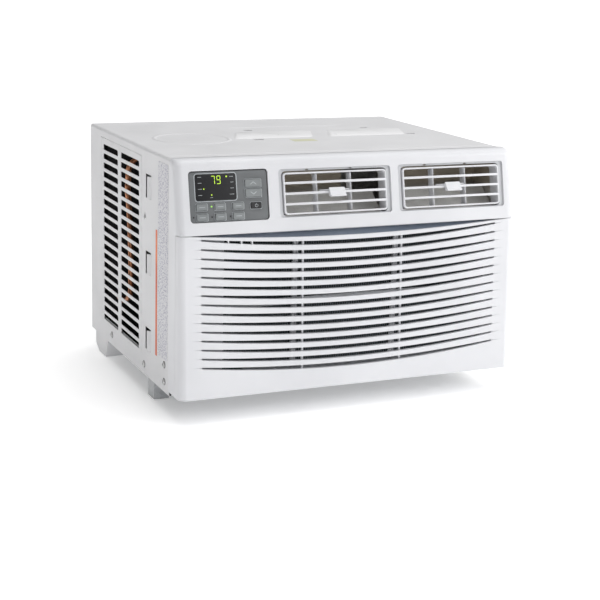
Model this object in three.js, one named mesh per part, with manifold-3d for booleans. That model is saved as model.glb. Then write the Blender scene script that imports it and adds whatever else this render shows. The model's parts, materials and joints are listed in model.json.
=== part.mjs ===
// A window air conditioner: a slotted steel cabinet on a base pan, a moulded front with a tilting
// intake grille, two louvred outlets and a control panel, and the cooling works inside.
// Millimetres, x across, y from front to back, z up. While the pieces are drawn, y = 0 is the
// joint between cabinet and fascia and z = 0 is the fascia's lower edge; the group moves them to
// the part's own frame, with its origin on the floor under the middle of the unit.
import * as THREE from 'three';
import { mergeVertices } from 'three/addons/utils/BufferGeometryUtils.js';
import Module from 'manifold-3d';

const wasm = await Module();
wasm.setup();

// ---- driving dimensions ----
const GAP = 0.4; // between neighbouring pieces
const SHEET = 1.2; // steel sheet
const WALL = 2.5; // moulded plastic

const CABINET = { half: 233.5, depth: 351, top: 292.4, bottom: -6.4, edgeRadius: 4, rearLip: 12 };
const FLOOR_Z = -35;

const SLOT_COLUMNS = [[123.5, 203], [217, 285]]; // y ranges on each side
const SLOT_ROWS = 20;
const SLOT_TOP = 272.1;
const SLOT_PITCH = 12.74;
const SLOT_HEIGHT = 7.9;
const LANCE_ROWS = [[229.6, 260.4], [131, 161], [30.3, 60]]; // z ranges of the curtain pockets
const LANCE = { root: 71.6, tip: 78.7, mouth: 96, rise: 4 };

const FRONT = { half: 235, top: 293.4, corner: 10, cornerSteps: 4, seam: -24.4 };
const SPLIT = { y: -35, z: 203.7 }; // where the leaning upper face meets the lower one
const UPPER_LEAN = 0.213;
const LOWER_LEAN = 0.051;
const BROW = { z: 283, run: 10, sideInset: 3, steps: 4 }; // the rounded top edge of the front
const FACE_TILT = Math.atan(UPPER_LEAN);

const GRILLE = { top: 203.2, rear: -24.7, slots: 15, slotEnd: 206.3, firstSlot: 197.9, pitch: 11.31 };
const SLOT_SAG = 12;
const SLOT_OPEN = { ends: 1.5, middle: 4 };
const GRILLE_RIBS = [-69.5, 69.5];
const RIB_WIDTH = 2.4;
const FINGER_RECESS = { half: 224, sag: 9, floor: -27.5 };

const FILTER = { half: 205, bottom: 16, top: 202.5, front: -24.9, back: -21.4, border: 6, sill: 12, seal: 32 };
const FILTER_RIBS = [[-81, -74], [60, 67]];
const FILTER_BAR = [107.5, 114.5];

const PANEL = { x0: -217.9, x1: -115.6, s0: 15.7, s1: 77.4, d0: 0.8, d1: 3.3 };
const WINDOW = { x0: -209.9, x1: -156.9, s0: 41.5, s1: 74 };
const BUTTONS = [
  { name: 'button_up', x0: -146, x1: -124.2, s0: 55.8, s1: 65.8 },
  { name: 'button_down', x0: -146, x1: -124.2, s0: 43.6, s1: 54 },
  { name: 'button_power', x0: -139.5, x1: -124.9, s0: 29.5, s1: 37.6, dark: true },
  { name: 'button_mode', x0: -210.4, x1: -195.5, s0: 29.8, s1: 38.3 },
  { name: 'button_fan_speed', x0: -186.5, x1: -172.2, s0: 29.8, s1: 38.3 },
  { name: 'button_energy_saver', x0: -163.5, x1: -148.3, s0: 29.8, s1: 38.3 },
  { name: 'button_timer', x0: -210.4, x1: -195.5, s0: 17.3, s1: 26.2 },
  { name: 'button_sleep', x0: -186.5, x1: -172.2, s0: 17.3, s1: 26.2 },
  { name: 'button_filter_reset', x0: -163.5, x1: -148.3, s0: 17.3, s1: 26.2 },
];

const OUTLETS = [
  { side: 'left', x0: -100.9, x1: 54.3 },
  { side: 'right', x0: 64.9, x1: 221 },
];
const OUTLET = { s0: 16.5, s1: 76.1 };
const LOUVER = { halfWidth: 71.3, halfHeight: 26, depth: 20, wall: 2, centre: 45.7, pivotDepth: 10 };
const LOUVER_BARS = [-13, 0, 13]; // offsets up the face
const BAR = { height: 3, depth: 4.2 };
const VANE = { offset: 23.7, front: 6.6, back: 19, thick: 2.5 };
const PIVOT_PIN = { radius: 2, hole: 2.5, reach: 80 };

const FAN_X = 60; // common axis of motor, blower and condenser fan
const FAN_Z = 112;
const SHAFT_RADIUS = 4;
const BORE_RADIUS = 4.4;

// ---- solids ----
const MERGE_DISTANCE = 1e-4;

// A closed geometry as a solid; one drawn inside out is turned.
function toSolid(geometry) {
  const bare = geometry.clone();
  bare.deleteAttribute('normal');
  bare.deleteAttribute('uv');
  const merged = mergeVertices(bare, MERGE_DISTANCE);
  const triangles = [];
  for (let i = 0; i < merged.index.count; i += 3) {
    const corners = [merged.index.getX(i), merged.index.getX(i + 1), merged.index.getX(i + 2)];
    if (new Set(corners).size === 3) triangles.push(corners);
  }
  const solidOf = (list) => new wasm.Manifold(new wasm.Mesh({
    numProp: 3,
    vertProperties: merged.attributes.position.array,
    triVerts: new Uint32Array(list.flat()),
  }));
  const solid = solidOf(triangles);
  return solid.volume() >= 0 ? solid : solidOf(triangles.map(([a, b, c]) => [a, c, b]));
}

function toGeometry(solid) {
  const mesh = solid.getMesh();
  const geometry = new THREE.BufferGeometry();
  geometry.setAttribute('position', new THREE.BufferAttribute(new Float32Array(mesh.vertProperties), 3));
  geometry.setIndex(new THREE.BufferAttribute(new Uint32Array(mesh.triVerts), 1));
  const flat = geometry.toNonIndexed();
  flat.computeVertexNormals();
  return flat;
}

const join = (...parts) => toGeometry(parts.map(toSolid).reduce((a, b) => a.add(b)));
const cut = (base, ...tools) => toGeometry(tools.map(toSolid).reduce((a, b) => a.subtract(b), toSolid(base)));
const common = (a, b) => toGeometry(toSolid(a).intersect(toSolid(b)));

// ---- shapes ----
// A box between two opposite corners.
function box(x0, y0, z0, x1, y1, z1) {
  const size = [x1 - x0, y1 - y0, z1 - z0].map(Math.abs);
  return new THREE.BoxGeometry(...size).translate((x0 + x1) / 2, (y0 + y1) / 2, (z0 + z1) / 2);
}

const outline = (points) => new THREE.Shape(points.map(([u, v]) => new THREE.Vector2(u, v)));

function slab(shape, depth) {
  return new THREE.ExtrudeGeometry(shape, { depth, bevelEnabled: false, steps: 1, curveSegments: 6 });
}

// An outline in x, y carried up z.
const alongZ = (points, z0, z1) => slab(outline(points), z1 - z0).translate(0, 0, z0);

// An outline in y, z carried along x.
function alongX(points, x0, x1) {
  const turn = new THREE.Matrix4().set(0, 0, 1, x0, 1, 0, 0, 0, 0, 1, 0, 0, 0, 0, 0, 1);
  return slab(outline(points), x1 - x0).applyMatrix4(turn);
}

// An outline in x, z carried along y.
function alongY(points, y0, y1) {
  const turn = new THREE.Matrix4().set(1, 0, 0, 0, 0, 0, -1, y1, 0, 1, 0, 0, 0, 0, 0, 1);
  return slab(outline(points), y1 - y0).applyMatrix4(turn);
}

// A round bar on an axis: 'x', 'y' or 'z', from its low end at (x, y, z).
function rod(axis, radius, length, x, y, z, sides = 24) {
  const bar = new THREE.CylinderGeometry(radius, radius, length, sides).translate(0, length / 2, 0);
  if (axis === 'x') bar.rotateZ(-Math.PI / 2);
  if (axis === 'z') bar.rotateX(Math.PI / 2);
  return bar.translate(x, y, z);
}

// A turned body on a vertical axis through (x, y), from a profile of [radius, z].
function turned(profile, x, y, sides = 24) {
  const points = profile.map(([r, z]) => new THREE.Vector2(r, z));
  return new THREE.LatheGeometry(points, sides).rotateX(Math.PI / 2).translate(x, y, 0);
}

// A round tube or wire along a smooth path.
function pipe(points, radius, steps, sides = 6) {
  const path = new THREE.CatmullRomCurve3(points.map((p) => new THREE.Vector3(...p)), false, 'centripetal');
  const section = new THREE.Shape();
  for (let i = 0; i < sides; i++) {
    const angle = (i / sides) * Math.PI * 2;
    const method = i ? 'lineTo' : 'moveTo';
    section[method](radius * Math.cos(angle), radius * Math.sin(angle));
  }
  return new THREE.ExtrudeGeometry(section, { steps, extrudePath: path, bevelEnabled: false });
}

// A closed skin over convex loops that have the same number of points.
function loft(loops) {
  const count = loops[0].length;
  const positions = [];
  const add = (...corners) => corners.forEach((p) => positions.push(...p));
  for (let row = 0; row + 1 < loops.length; row++) {
    for (let i = 0; i < count; i++) {
      const next = (i + 1) % count;
      add(loops[row][i], loops[row][next], loops[row + 1][next]);
      add(loops[row][i], loops[row + 1][next], loops[row + 1][i]);
    }
  }
  const last = loops[loops.length - 1];
  for (let i = 1; i + 1 < count; i++) {
    add(loops[0][0], loops[0][i + 1], loops[0][i]);
    add(last[0], last[i], last[i + 1]);
  }
  const geometry = new THREE.BufferGeometry();
  geometry.setAttribute('position', new THREE.Float32BufferAttribute(positions, 3));
  return geometry;
}

const mirrored = (geometry) => geometry.clone().scale(-1, 1, 1);

// ---- materials and nodes ----
function finish(color, roughness, metalness = 0) {
  return { color, roughness, metalness };
}
const FINISH = {
  whitePlastic: finish(0xf0f0f2, 0.35),
  paintedSteel: finish(0xd3d3d2, 0.45, 0.1),
  galvanised: finish(0xa9acae, 0.4, 0.9),
  greyPlastic: finish(0x787f84, 0.5),
  darkLens: finish(0x2c2c2e, 0.15),
  blackPlastic: finish(0x1c1c1e, 0.5),
  filterGrey: finish(0xb8bcc0, 0.6),
  filterMesh: finish(0x6c7478, 0.8),
  circuitGreen: finish(0x2f6b3c, 0.6),
  fins: finish(0x9fa8ad, 0.35, 0.9),
  coatedFins: finish(0x2c3f46, 0.5, 0.6),
  copper: finish(0xb4683c, 0.35, 0.95),
  blackSteel: finish(0x1b1b1c, 0.45, 0.4),
  rubber: finish(0x161616, 0.85),
  aluminium: finish(0xc2c5c8, 0.4, 0.9),
  foam: finish(0xe8e8e6, 0.9),
};

const unit = new THREE.Group();
unit.position.set(0, -(CABINET.depth + SPLIT.y - LOWER_LEAN * SPLIT.z) / 2, -FLOOR_Z);

// The leaning upper face: x across it, y (called d) inwards from its surface, z (called s) up it.
const face = new THREE.Group();
face.position.set(0, SPLIT.y, SPLIT.z);
face.rotation.x = -FACE_TILT;
unit.add(face);

function node(name, finishName, geometry, parent = unit) {
  const mesh = new THREE.Mesh(geometry, new THREE.MeshStandardMaterial(FINISH[finishName]));
  mesh.name = name;
  parent.add(mesh);
  return mesh;
}

// A tool or piece drawn on the leaning face, brought into the unit's own axes.
function onFace(geometry) {
  return geometry.clone().rotateX(-FACE_TILT).translate(0, SPLIT.y, SPLIT.z);
}

// ---- cabinet ----
function archOutline(inset) {
  const half = CABINET.half - inset;
  const top = CABINET.top - inset;
  const radius = CABINET.edgeRadius - inset;
  const low = CABINET.bottom - (inset ? 5 : 0);
  const points = [[-half, low], [half, low]];
  for (const [centre, start] of [[half - radius, 0], [radius - half, 1]]) {
    for (let i = 0; i <= 3; i++) {
      const angle = (start + i / 3) * (Math.PI / 2);
      points.push([centre + radius * Math.cos(angle), top - radius + radius * Math.sin(angle)]);
    }
  }
  return points;
}

function sideSlots() {
  const slots = [];
  for (const [y0, y1] of SLOT_COLUMNS) {
    for (let row = 0; row < SLOT_ROWS; row++) {
      const top = SLOT_TOP - row * SLOT_PITCH;
      slots.push(box(-CABINET.half - 2, y0, top - SLOT_HEIGHT, -CABINET.half + 4, y1, top));
    }
  }
  return slots;
}

// The flap that stands out over the front part of a curtain pocket.
function lanceFlap(z0, z1) {
  const wall = -CABINET.half;
  const proud = wall - LANCE.rise;
  const profile = [
    [wall + 0.9, LANCE.root - 0.5],
    [proud, LANCE.tip - SHEET],
    [proud, LANCE.tip],
    [wall + 0.9, LANCE.root + 3],
  ];
  return alongZ(profile, z0 + 0.5, z1 - 0.5);
}

function cabinetWrapper() {
  const { half, depth, bottom, top, rearLip } = CABINET;
  const shell = cut(
    alongY(archOutline(0), GAP, depth),
    alongY(archOutline(SHEET), GAP - 5, depth - SHEET),
    box(rearLip - half, depth - 5, bottom - 5, half - rearLip, depth + 5, top - rearLip),
  );
  const mouths = LANCE_ROWS.map(([z0, z1]) => box(-half - 2, LANCE.root + 2, z0, 4 - half, LANCE.mouth, z1));
  const tools = [...sideSlots(), ...mouths];
  const flaps = LANCE_ROWS.map(([z0, z1]) => lanceFlap(z0, z1));
  return join(cut(shell, ...tools, ...tools.map(mirrored)), ...flaps, ...flaps.map(mirrored));
}
node('cabinet_wrapper', 'paintedSteel', cabinetWrapper());

function basePan() {
  const half = CABINET.half - SHEET - GAP;
  const sheet = 1.5;
  const low = -5.6;
  const rear = 334;
  return cut(
    box(-half, 2, low, half, rear, 24),
    box(sheet - half, 2 + sheet, low + sheet, half - sheet, rear - sheet, 30),
    box(-half - 1, 1, 2, half + 1, 2 + sheet + 20, 30),
  );
}
node('base_pan', 'galvanised', basePan());

// A pressed foot under a rear corner, with its rear lower edge cut back.
function rearFoot() {
  const side = [[275, -6], [275, -12], [287, FLOOR_Z], [318, FLOOR_Z], [335, -26], [335, -6]];
  const hollow = [[277, -8], [277, -12.3], [288.4, FLOOR_Z + 2], [317, FLOOR_Z + 2], [333, -25], [333, -8]];
  return cut(alongX(side, -232, -182), alongX(hollow, -230.5, -180));
}
// A folded bracket with a rib, under a front corner.
function frontFoot() {
  const [left, right, front, rear, rib] = [-228, -207.5, 78, 103, -219];
  const sheet = 1.6;
  return join(
    box(left, front, -6 - sheet, right, rear, -6),
    box(left, front, FLOOR_Z, right, rear, FLOOR_Z + sheet),
    box(left, front, FLOOR_Z, left + sheet, rear, -6),
    box(left, front, FLOOR_Z, right, front + sheet, -6),
    box(rib, front, FLOOR_Z, rib + sheet, rear - 8, -6),
  );
}
for (const [side, place] of [['left', (g) => g], ['right', mirrored]]) {
  node(`rear_foot_${side}`, 'paintedSteel', join(place(rearFoot())));
  node(`front_foot_${side}`, 'galvanised', join(place(frontFoot())));
}

function rearGuard() {
  const [half, low, high, y0] = [231.3, -3.4, 290, 343];
  const [border, bar, rows, columns] = [14, 5, 9, 3];
  const width = (2 * half - 2 * border - (columns - 1) * bar) / columns;
  const height = (high - low - 2 * border - (rows - 1) * bar) / rows;
  const windows = [];
  for (let row = 0; row < rows; row++) {
    for (let column = 0; column < columns; column++) {
      const x = border - half + column * (width + bar);
      const z = low + border + row * (height + bar);
      windows.push(box(x, y0 - 2, z, x + width, y0 + 5, z + height));
    }
  }
  return cut(box(-half, y0, low, half, y0 + SHEET, high), ...windows);
}
node('rear_guard', 'paintedSteel', rearGuard());

// ---- front moulding ----
function frontLoop(z, front, half, rear, radius) {
  const loop = [[half, rear, z], [-half, rear, z]];
  for (const [centre, start] of [[radius - half, 2], [half - radius, 3]]) {
    for (let i = 0; i <= FRONT.cornerSteps; i++) {
      const angle = (start + i / FRONT.cornerSteps) * (Math.PI / 2);
      loop.push([centre + radius * Math.cos(angle), front + radius + radius * Math.sin(angle), z]);
    }
  }
  return loop;
}

// The whole front as a solid, or its hollow when inset by the wall.
function frontBody(inset, rear) {
  const half = FRONT.half - inset;
  const radius = FRONT.corner - inset;
  const bottomFront = SPLIT.y - LOWER_LEAN * SPLIT.z;
  const browFront = SPLIT.y + UPPER_LEAN * (BROW.z - SPLIT.z);
  const loops = [
    frontLoop(inset, bottomFront + inset + LOWER_LEAN * inset, half, rear, radius),
    frontLoop(SPLIT.z, SPLIT.y + inset, half, rear, radius),
  ];
  for (let i = 0; i <= BROW.steps; i++) {
    const angle = (i / BROW.steps) * (Math.PI / 2);
    const rise = (FRONT.top - BROW.z - inset) * Math.sin(angle);
    const back = 1 - Math.cos(angle);
    const front = browFront + inset + BROW.run * back;
    loops.push(frontLoop(BROW.z + rise, front, half - BROW.sideInset * back, rear, radius));
  }
  return loft(loops);
}

const GLAND = { x: 216, y: -11, hole: 7 };

function fascia() {
  const { seam } = FRONT;
  const panelHole = box(
    PANEL.x0 - GAP, -5, PANEL.s0 - GAP, PANEL.x1 + GAP, 8, PANEL.s1 + GAP,
  );
  const outletHoles = OUTLETS.map(({ x0, x1 }) => box(x0, -5, OUTLET.s0, x1, 8, OUTLET.s1));
  const shell = cut(
    frontBody(0, 0),
    frontBody(WALL, 5),
    box(-300, -80, -10, 300, seam, SPLIT.z + 0.1),
    ...[panelHole, ...outletHoles].map(onFace),
  );
  const frame = cut(
    box(1 - FRONT.half, seam, 1, FRONT.half - 1, seam + WALL, 212),
    box(-211, seam - 5, 14, 211, seam + 10, 300),
  );
  const lip = box(2 - FRONT.half, SPLIT.y + 1, SPLIT.z + 0.1, FRONT.half - 2, -25.6, SPLIT.z + 2.5);
  return cut(join(shell, frame, common(lip, frontBody(0, 0))), rod('z', GLAND.hole, 8, GLAND.x, GLAND.y, -2));
}
node('fascia', 'whitePlastic', fascia());

// ---- intake grille ----
const sagged = (x, half, sag) => sag * (1 - (x / half) ** 2);

// The outline of one slot between two x places, curved like a smile.
function slotOutline(x0, x1, end) {
  const steps = 4;
  const upper = [];
  const lower = [];
  for (let i = 0; i <= steps; i++) {
    const x = x0 + ((x1 - x0) * i) / steps;
    const middle = end - sagged(x, GRILLE.slotEnd, SLOT_SAG);
    const open = SLOT_OPEN.ends + sagged(x, GRILLE.slotEnd, SLOT_OPEN.middle - SLOT_OPEN.ends);
    lower.push([x, middle - open / 2]);
    upper.unshift([x, middle + open / 2]);
  }
  return [...lower, ...upper];
}

function grilleSlots() {
  const edges = [-GRILLE.slotEnd];
  GRILLE_RIBS.forEach((x) => edges.push(x - RIB_WIDTH / 2, x + RIB_WIDTH / 2));
  edges.push(GRILLE.slotEnd);
  const slots = [];
  for (let row = 0; row < GRILLE.slots; row++) {
    const end = GRILLE.firstSlot - row * GRILLE.pitch;
    for (let i = 0; i < edges.length; i += 2) {
      slots.push(alongY(slotOutline(edges[i], edges[i + 1], end), -60, -28));
    }
  }
  return slots;
}

// The dished top of the grille, a dip below its straight upper edge.
function dishOutline(drop, above) {
  const steps = 12;
  const points = [];
  for (let i = 0; i <= steps; i++) {
    const x = FINGER_RECESS.half * ((2 * i) / steps - 1);
    points.push([x, GRILLE.top - drop - sagged(x, FINGER_RECESS.half, FINGER_RECESS.sag)]);
  }
  return [...points, [FINGER_RECESS.half, above], [-FINGER_RECESS.half, above]];
}

function intakeGrille() {
  const zone = box(-300, -80, -1, 300, GRILLE.rear, GRILLE.top);
  const skin = cut(
    common(frontBody(0, 0), zone),
    frontBody(WALL, 5),
    alongY(dishOutline(0, GRILLE.top + 10), -60, FINGER_RECESS.floor),
    ...grilleSlots(),
  );
  const recessFloor = alongY(dishOutline(3, GRILLE.top), FINGER_RECESS.floor - 0.2, -25.4);
  const ledge = common(
    cut(alongY(dishOutline(3, GRILLE.top), -60, -25.4), alongY(dishOutline(0, 300), -61, FINGER_RECESS.floor)),
    common(frontBody(0.5, 0), zone),
  );
  return join(skin, ledge, common(recessFloor, zone));
}
node('intake_grille', 'whitePlastic', intakeGrille());

function filterFrame() {
  const { half, bottom, top, front, back, border, sill, seal } = FILTER;
  const [left, right] = FILTER_RIBS;
  const columns = [[seal - half, left[0]], [left[1], right[0]], [right[1], half - border]];
  const rows = [[bottom + sill, FILTER_BAR[0]], [FILTER_BAR[1], top - border]];
  const windows = columns.flatMap(([x0, x1]) => rows.map(([z0, z1]) => box(x0, front - 2, z0, x1, back + 2, z1)));
  return cut(box(-half, front, bottom, half, back, top), ...windows);
}
node('filter_frame', 'filterGrey', filterFrame());
const meshInset = 3;
node('filter_mesh', 'filterMesh', box(
  meshInset - FILTER.half, FILTER.back + 0.3, FILTER.bottom + meshInset,
  FILTER.half - meshInset, FILTER.back + 0.9, FILTER.top - meshInset,
));

// ---- control panel ----
function controlPanel() {
  const plate = box(PANEL.x0, PANEL.d0, PANEL.s0, PANEL.x1, PANEL.d1, PANEL.s1);
  const holes = [WINDOW, ...BUTTONS].map(({ x0, x1, s0, s1 }) => box(x0, -5, s0, x1, 10, s1));
  return cut(plate, ...holes);
}
node('control_panel', 'greyPlastic', controlPanel(), face);
node('display_window', 'darkLens', box(
  WINDOW.x0 + GAP, PANEL.d0 - 0.2, WINDOW.s0 + GAP, WINDOW.x1 - GAP, PANEL.d1, WINDOW.s1 - GAP,
), face);
node('control_board', 'circuitGreen', box(
  PANEL.x0 + 3, 7, PANEL.s0 + 1.5, PANEL.x1 - 3, 8.6, PANEL.s1 - 1.5,
), face);

// A key cap with a wider flange behind the panel that keeps it in.
function keyCap({ x0, x1, s0, s1 }) {
  return join(
    box(x0 + GAP, -0.6, s0 + GAP, x1 - GAP, PANEL.d1 + 0.6, s1 - GAP),
    box(x0 - GAP, PANEL.d1 + GAP, s0 - GAP, x1 + GAP, PANEL.d1 + 1.4, s1 + GAP),
  );
}
BUTTONS.forEach((button) => {
  node(button.name, button.dark ? 'blackPlastic' : 'greyPlastic', keyCap(button), face);
});

// ---- louvers ----
function louverFrame(x) {
  const { halfWidth, halfHeight, depth, wall, centre, pivotDepth } = LOUVER;
  const ring = cut(
    box(x - halfWidth, 0, centre - halfHeight, x + halfWidth, depth, centre + halfHeight),
    box(x - halfWidth + wall, -1, centre - halfHeight + wall, x + halfWidth - wall, depth + 1, centre + halfHeight - wall),
  );
  const bars = LOUVER_BARS.map((offset) => {
    const low = centre + offset - BAR.height / 2;
    return box(x - halfWidth + 1, 0, low, x + halfWidth - 1, BAR.depth, low + BAR.height);
  });
  const pins = [-1, 1].map((side) => {
    const start = side < 0 ? x - PIVOT_PIN.reach : x + halfWidth - 1;
    return rod('x', PIVOT_PIN.radius, PIVOT_PIN.reach - halfWidth + 1, start, pivotDepth, centre, 12);
  });
  return join(ring, ...bars, ...pins);
}

// A vertical vane, thick at its front edge, with a pin at each end.
function vane(x) {
  const { front, back, thick } = VANE;
  const reach = LOUVER.halfHeight - LOUVER.wall - 0.6;
  const profile = [
    [x - thick / 2, front], [x + thick / 2, front], [x + thick / 2, front + 3], [x + 0.6, back], [x - 0.6, back],
    [x - thick / 2, front + 3],
  ];
  return alongZ(profile, LOUVER.centre - reach, LOUVER.centre + reach);
}

// The thumb tab: a paddle in front of the middle bar, clipped round it to a link between the vanes.
function thumbTab(x) {
  const mid = LOUVER.centre;
  const clear = BAR.height / 2 + 0.5;
  const arm = clear + 2;
  const link = VANE.offset - VANE.thick / 2 - 1.4;
  const paddle = [[-8, mid - 1.2], [-8, mid + 1.2], [-2, mid + arm], [-0.5, mid + arm], [-0.5, mid - arm], [-2, mid - arm]];
  return join(
    alongX(paddle, x - 10.8, x + 10.8),
    box(x - 8, -1, mid + clear, x + 8, BAR.depth + 2.4, mid + arm),
    box(x - 8, -1, mid - arm, x + 8, BAR.depth + 2.4, mid - clear),
    box(x - link, BAR.depth + GAP, mid - arm, x + link, BAR.depth + 2.4, mid + arm),
  );
}

OUTLETS.forEach(({ side, x0, x1 }) => {
  const x = (x0 + x1) / 2;
  node(`louver_frame_${side}`, 'whitePlastic', louverFrame(x), face);
  node(`vane_${side}_outlet_a`, 'whitePlastic', vane(x - VANE.offset), face);
  node(`vane_${side}_outlet_b`, 'whitePlastic', vane(x + VANE.offset), face);
  node(`louver_tab_${side}`, 'whitePlastic', thumbTab(x), face);
});

// ---- air path ----
const DUCT = { x0: -104, x1: 224, rear: 56, wall: 2 };
const NECK = { x0: 14, x1: 106, front: 57, top: 284 };

function dischargeDuct() {
  const front = WALL + GAP;
  const low = OUTLET.s0 - 3;
  const high = OUTLET.s1 + 2.5;
  const corner = (d, s) => [
    SPLIT.y + d * Math.cos(FACE_TILT) + s * Math.sin(FACE_TILT),
    SPLIT.z - d * Math.sin(FACE_TILT) + s * Math.cos(FACE_TILT),
  ];
  const { x0, x1, rear, wall } = DUCT;
  const outer = [corner(front, low), [rear, 212], [rear, 284], corner(front, high)];
  const inner = [corner(24, low + wall), [rear - wall, 214], [rear - wall, 282], corner(24, high - wall)];
  const mouths = OUTLETS.map((outlet) => box(outlet.x0 - 0.3, 0, low + wall, outlet.x1 + 0.3, 26, high - wall));
  const bores = OUTLETS.map((outlet) => rod(
    'x', PIVOT_PIN.hole, 166, (outlet.x0 + outlet.x1) / 2 - 83, LOUVER.pivotDepth, LOUVER.centre, 12,
  ));
  return cut(
    alongX(outer, x0, x1),
    alongX(inner, x0 + wall, x1 - wall),
    ...[...mouths, ...bores].map(onFace),
    box(NECK.x0 + 6, rear - 5, 218, NECK.x1 - 6, rear + 5, 280),
  );
}
node('discharge_duct', 'foam', dischargeDuct());

// The spiral wall round the blower wheel, inset by the wall for its hollow.
function voluteOutline(inset) {
  const steps = 20;
  const points = [];
  for (let i = 0; i <= steps; i++) {
    const turn = i / steps;
    const angle = Math.PI * (0.25 - 1.55 * turn);
    const radius = 74 + 22 * turn - inset;
    points.push([FAN_X + radius * Math.cos(angle), FAN_Z + radius * Math.sin(angle)]);
  }
  return points;
}

function blowerScroll() {
  const [front, rear, wall] = [52, 118, 2];
  const neck = (inset) => box(
    NECK.x0 + inset, NECK.front + inset, 150, NECK.x1 - inset, rear - inset, NECK.top - inset,
  );
  const outer = join(alongY(voluteOutline(0), front, rear), neck(0));
  const inner = join(alongY(voluteOutline(wall), front + wall, rear - wall), neck(wall));
  return cut(
    outer,
    inner,
    rod('y', 54, 10, FAN_X, front - 5, FAN_Z, 32),
    rod('y', 9, 10, FAN_X, rear - 5, FAN_Z, 16),
    box(NECK.x0 + 6, NECK.front - 3, 218, NECK.x1 - 6, NECK.front + 3, 280),
  );
}
node('blower_scroll', 'foam', blowerScroll());

function blowerWheel() {
  const [front, rear, tip, root, blades] = [60, 110, 66, 56, 18];
  const plate = rod('y', tip, 2, FAN_X, rear - 2, FAN_Z, 32);
  const rim = cut(rod('y', tip, 3, FAN_X, front, FAN_Z, 32), rod('y', root, 9, FAN_X, front - 3, FAN_Z, 32));
  const hub = rod('y', 11, 26, FAN_X, rear - 26, FAN_Z, 16);
  const fins = Array.from({ length: blades }, (_, i) => {
    const fin = new THREE.BoxGeometry(9, rear - front - 2, 1.2).translate((tip + root) / 2, 0, 0);
    return fin.rotateY((i / blades) * Math.PI * 2).translate(FAN_X, (front + rear) / 2, FAN_Z);
  });
  return cut(join(plate, rim, hub, ...fins), rod('y', BORE_RADIUS, 60, FAN_X, 70, FAN_Z, 12));
}
node('blower_wheel', 'blackPlastic', blowerWheel());

// ---- fan motor, its shaft and the condenser fan ----
node('motor_shaft', 'galvanised', rod('y', SHAFT_RADIUS, 188, FAN_X, 78, FAN_Z, 12));

function fanMotor() {
  const body = join(
    rod('y', 42, 56, FAN_X, 136, FAN_Z, 28),
    rod('y', 16, 68, FAN_X, 130.4, FAN_Z, 16),
  );
  return cut(body, rod('y', BORE_RADIUS + 0.2, 90, FAN_X, 120, FAN_Z, 12));
}
node('fan_motor', 'galvanised', fanMotor());

function motorBracket() {
  const plate = box(FAN_X - 40, 128, -3.7, FAN_X + 40, 130, 158);
  const foot = box(FAN_X - 40, 128, -3.7, FAN_X + 40, 176, -2.2);
  return cut(join(plate, foot), rod('y', 12, 10, FAN_X, 124, FAN_Z, 16));
}
node('motor_bracket', 'galvanised', motorBracket());

// One blade as a thin board that flattens from the hub to the ring.
function fanBlade(angle) {
  const loops = [20, 64, 107].map((radius, i) => {
    const pitch = [0.85, 0.6, 0.42][i];
    const chord = [22, 30, 26][i];
    return [[-1, -1], [1, -1], [1, 1], [-1, 1]].map(([u, v]) => {
      const along = (u * chord) / 2;
      const thick = v * 0.9;
      const across = along * Math.cos(pitch) - thick * Math.sin(pitch);
      const deep = along * Math.sin(pitch) + thick * Math.cos(pitch);
      return [
        FAN_X + radius * Math.cos(angle) - across * Math.sin(angle),
        250 + deep * 0.7,
        FAN_Z + radius * Math.sin(angle) + across * Math.cos(angle),
      ];
    });
  });
  return loft(loops);
}

function condenserFan() {
  const blades = 5;
  const ring = cut(rod('y', 108, 8, FAN_X, 246, FAN_Z, 36), rod('y', 105.5, 12, FAN_X, 244, FAN_Z, 36));
  const hub = rod('y', 24, 26, FAN_X, 238, FAN_Z, 20);
  const fins = Array.from({ length: blades }, (_, i) => fanBlade((i / blades) * Math.PI * 2 + 0.3));
  return cut(join(ring, hub, ...fins), rod('y', BORE_RADIUS, 60, FAN_X, 220, FAN_Z, 12));
}
node('condenser_fan', 'blackPlastic', condenserFan());

function condenserShroud() {
  const [half, sheet, front, rear, low, high] = [228, 1.5, 282, 332, -3.7, 288];
  const plate = box(-half, front, low, half, front + sheet, high);
  const flange = box(-half, front, low, sheet - half, rear, high);
  const ring = rod('y', 114, 46, FAN_X, 238, FAN_Z, 36);
  return cut(join(plate, ring, flange, mirrored(flange)), rod('y', 112, 60, FAN_X, 230, FAN_Z, 36));
}
node('condenser_shroud', 'blackPlastic', condenserShroud());

function bulkhead() {
  const plate = box(-228, 121, -3.7, 228, 121 + SHEET, 289);
  const flange = box(-228, 121, 287.8, 228, 133, 289);
  return cut(
    join(plate, flange),
    rod('y', 12, 10, FAN_X, 117, FAN_Z, 16),
    rod('y', 9, 10, -190, 117, 195, 12),
    rod('y', 5, 10, -200, 117, 60, 10),
  );
}
node('bulkhead', 'galvanised', bulkhead());

// ---- coils ----
// A finned block: a comb in plan, carried up.
const FIN = { teeth: 30, fill: 0.27, backing: 4 };
function finBlock(half, y0, y1, z0, z1) {
  const pitch = (2 * half) / FIN.teeth;
  const groove = y1 - FIN.backing;
  const points = [[-half, y1]];
  for (let i = 0; i < FIN.teeth; i++) {
    const x = i * pitch - half;
    points.push([x, y0], [x + pitch * FIN.fill, y0], [x + pitch * FIN.fill, groove], [x + pitch, groove]);
  }
  points.push([half, y1]);
  return alongZ(points, z0, z1);
}

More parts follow.
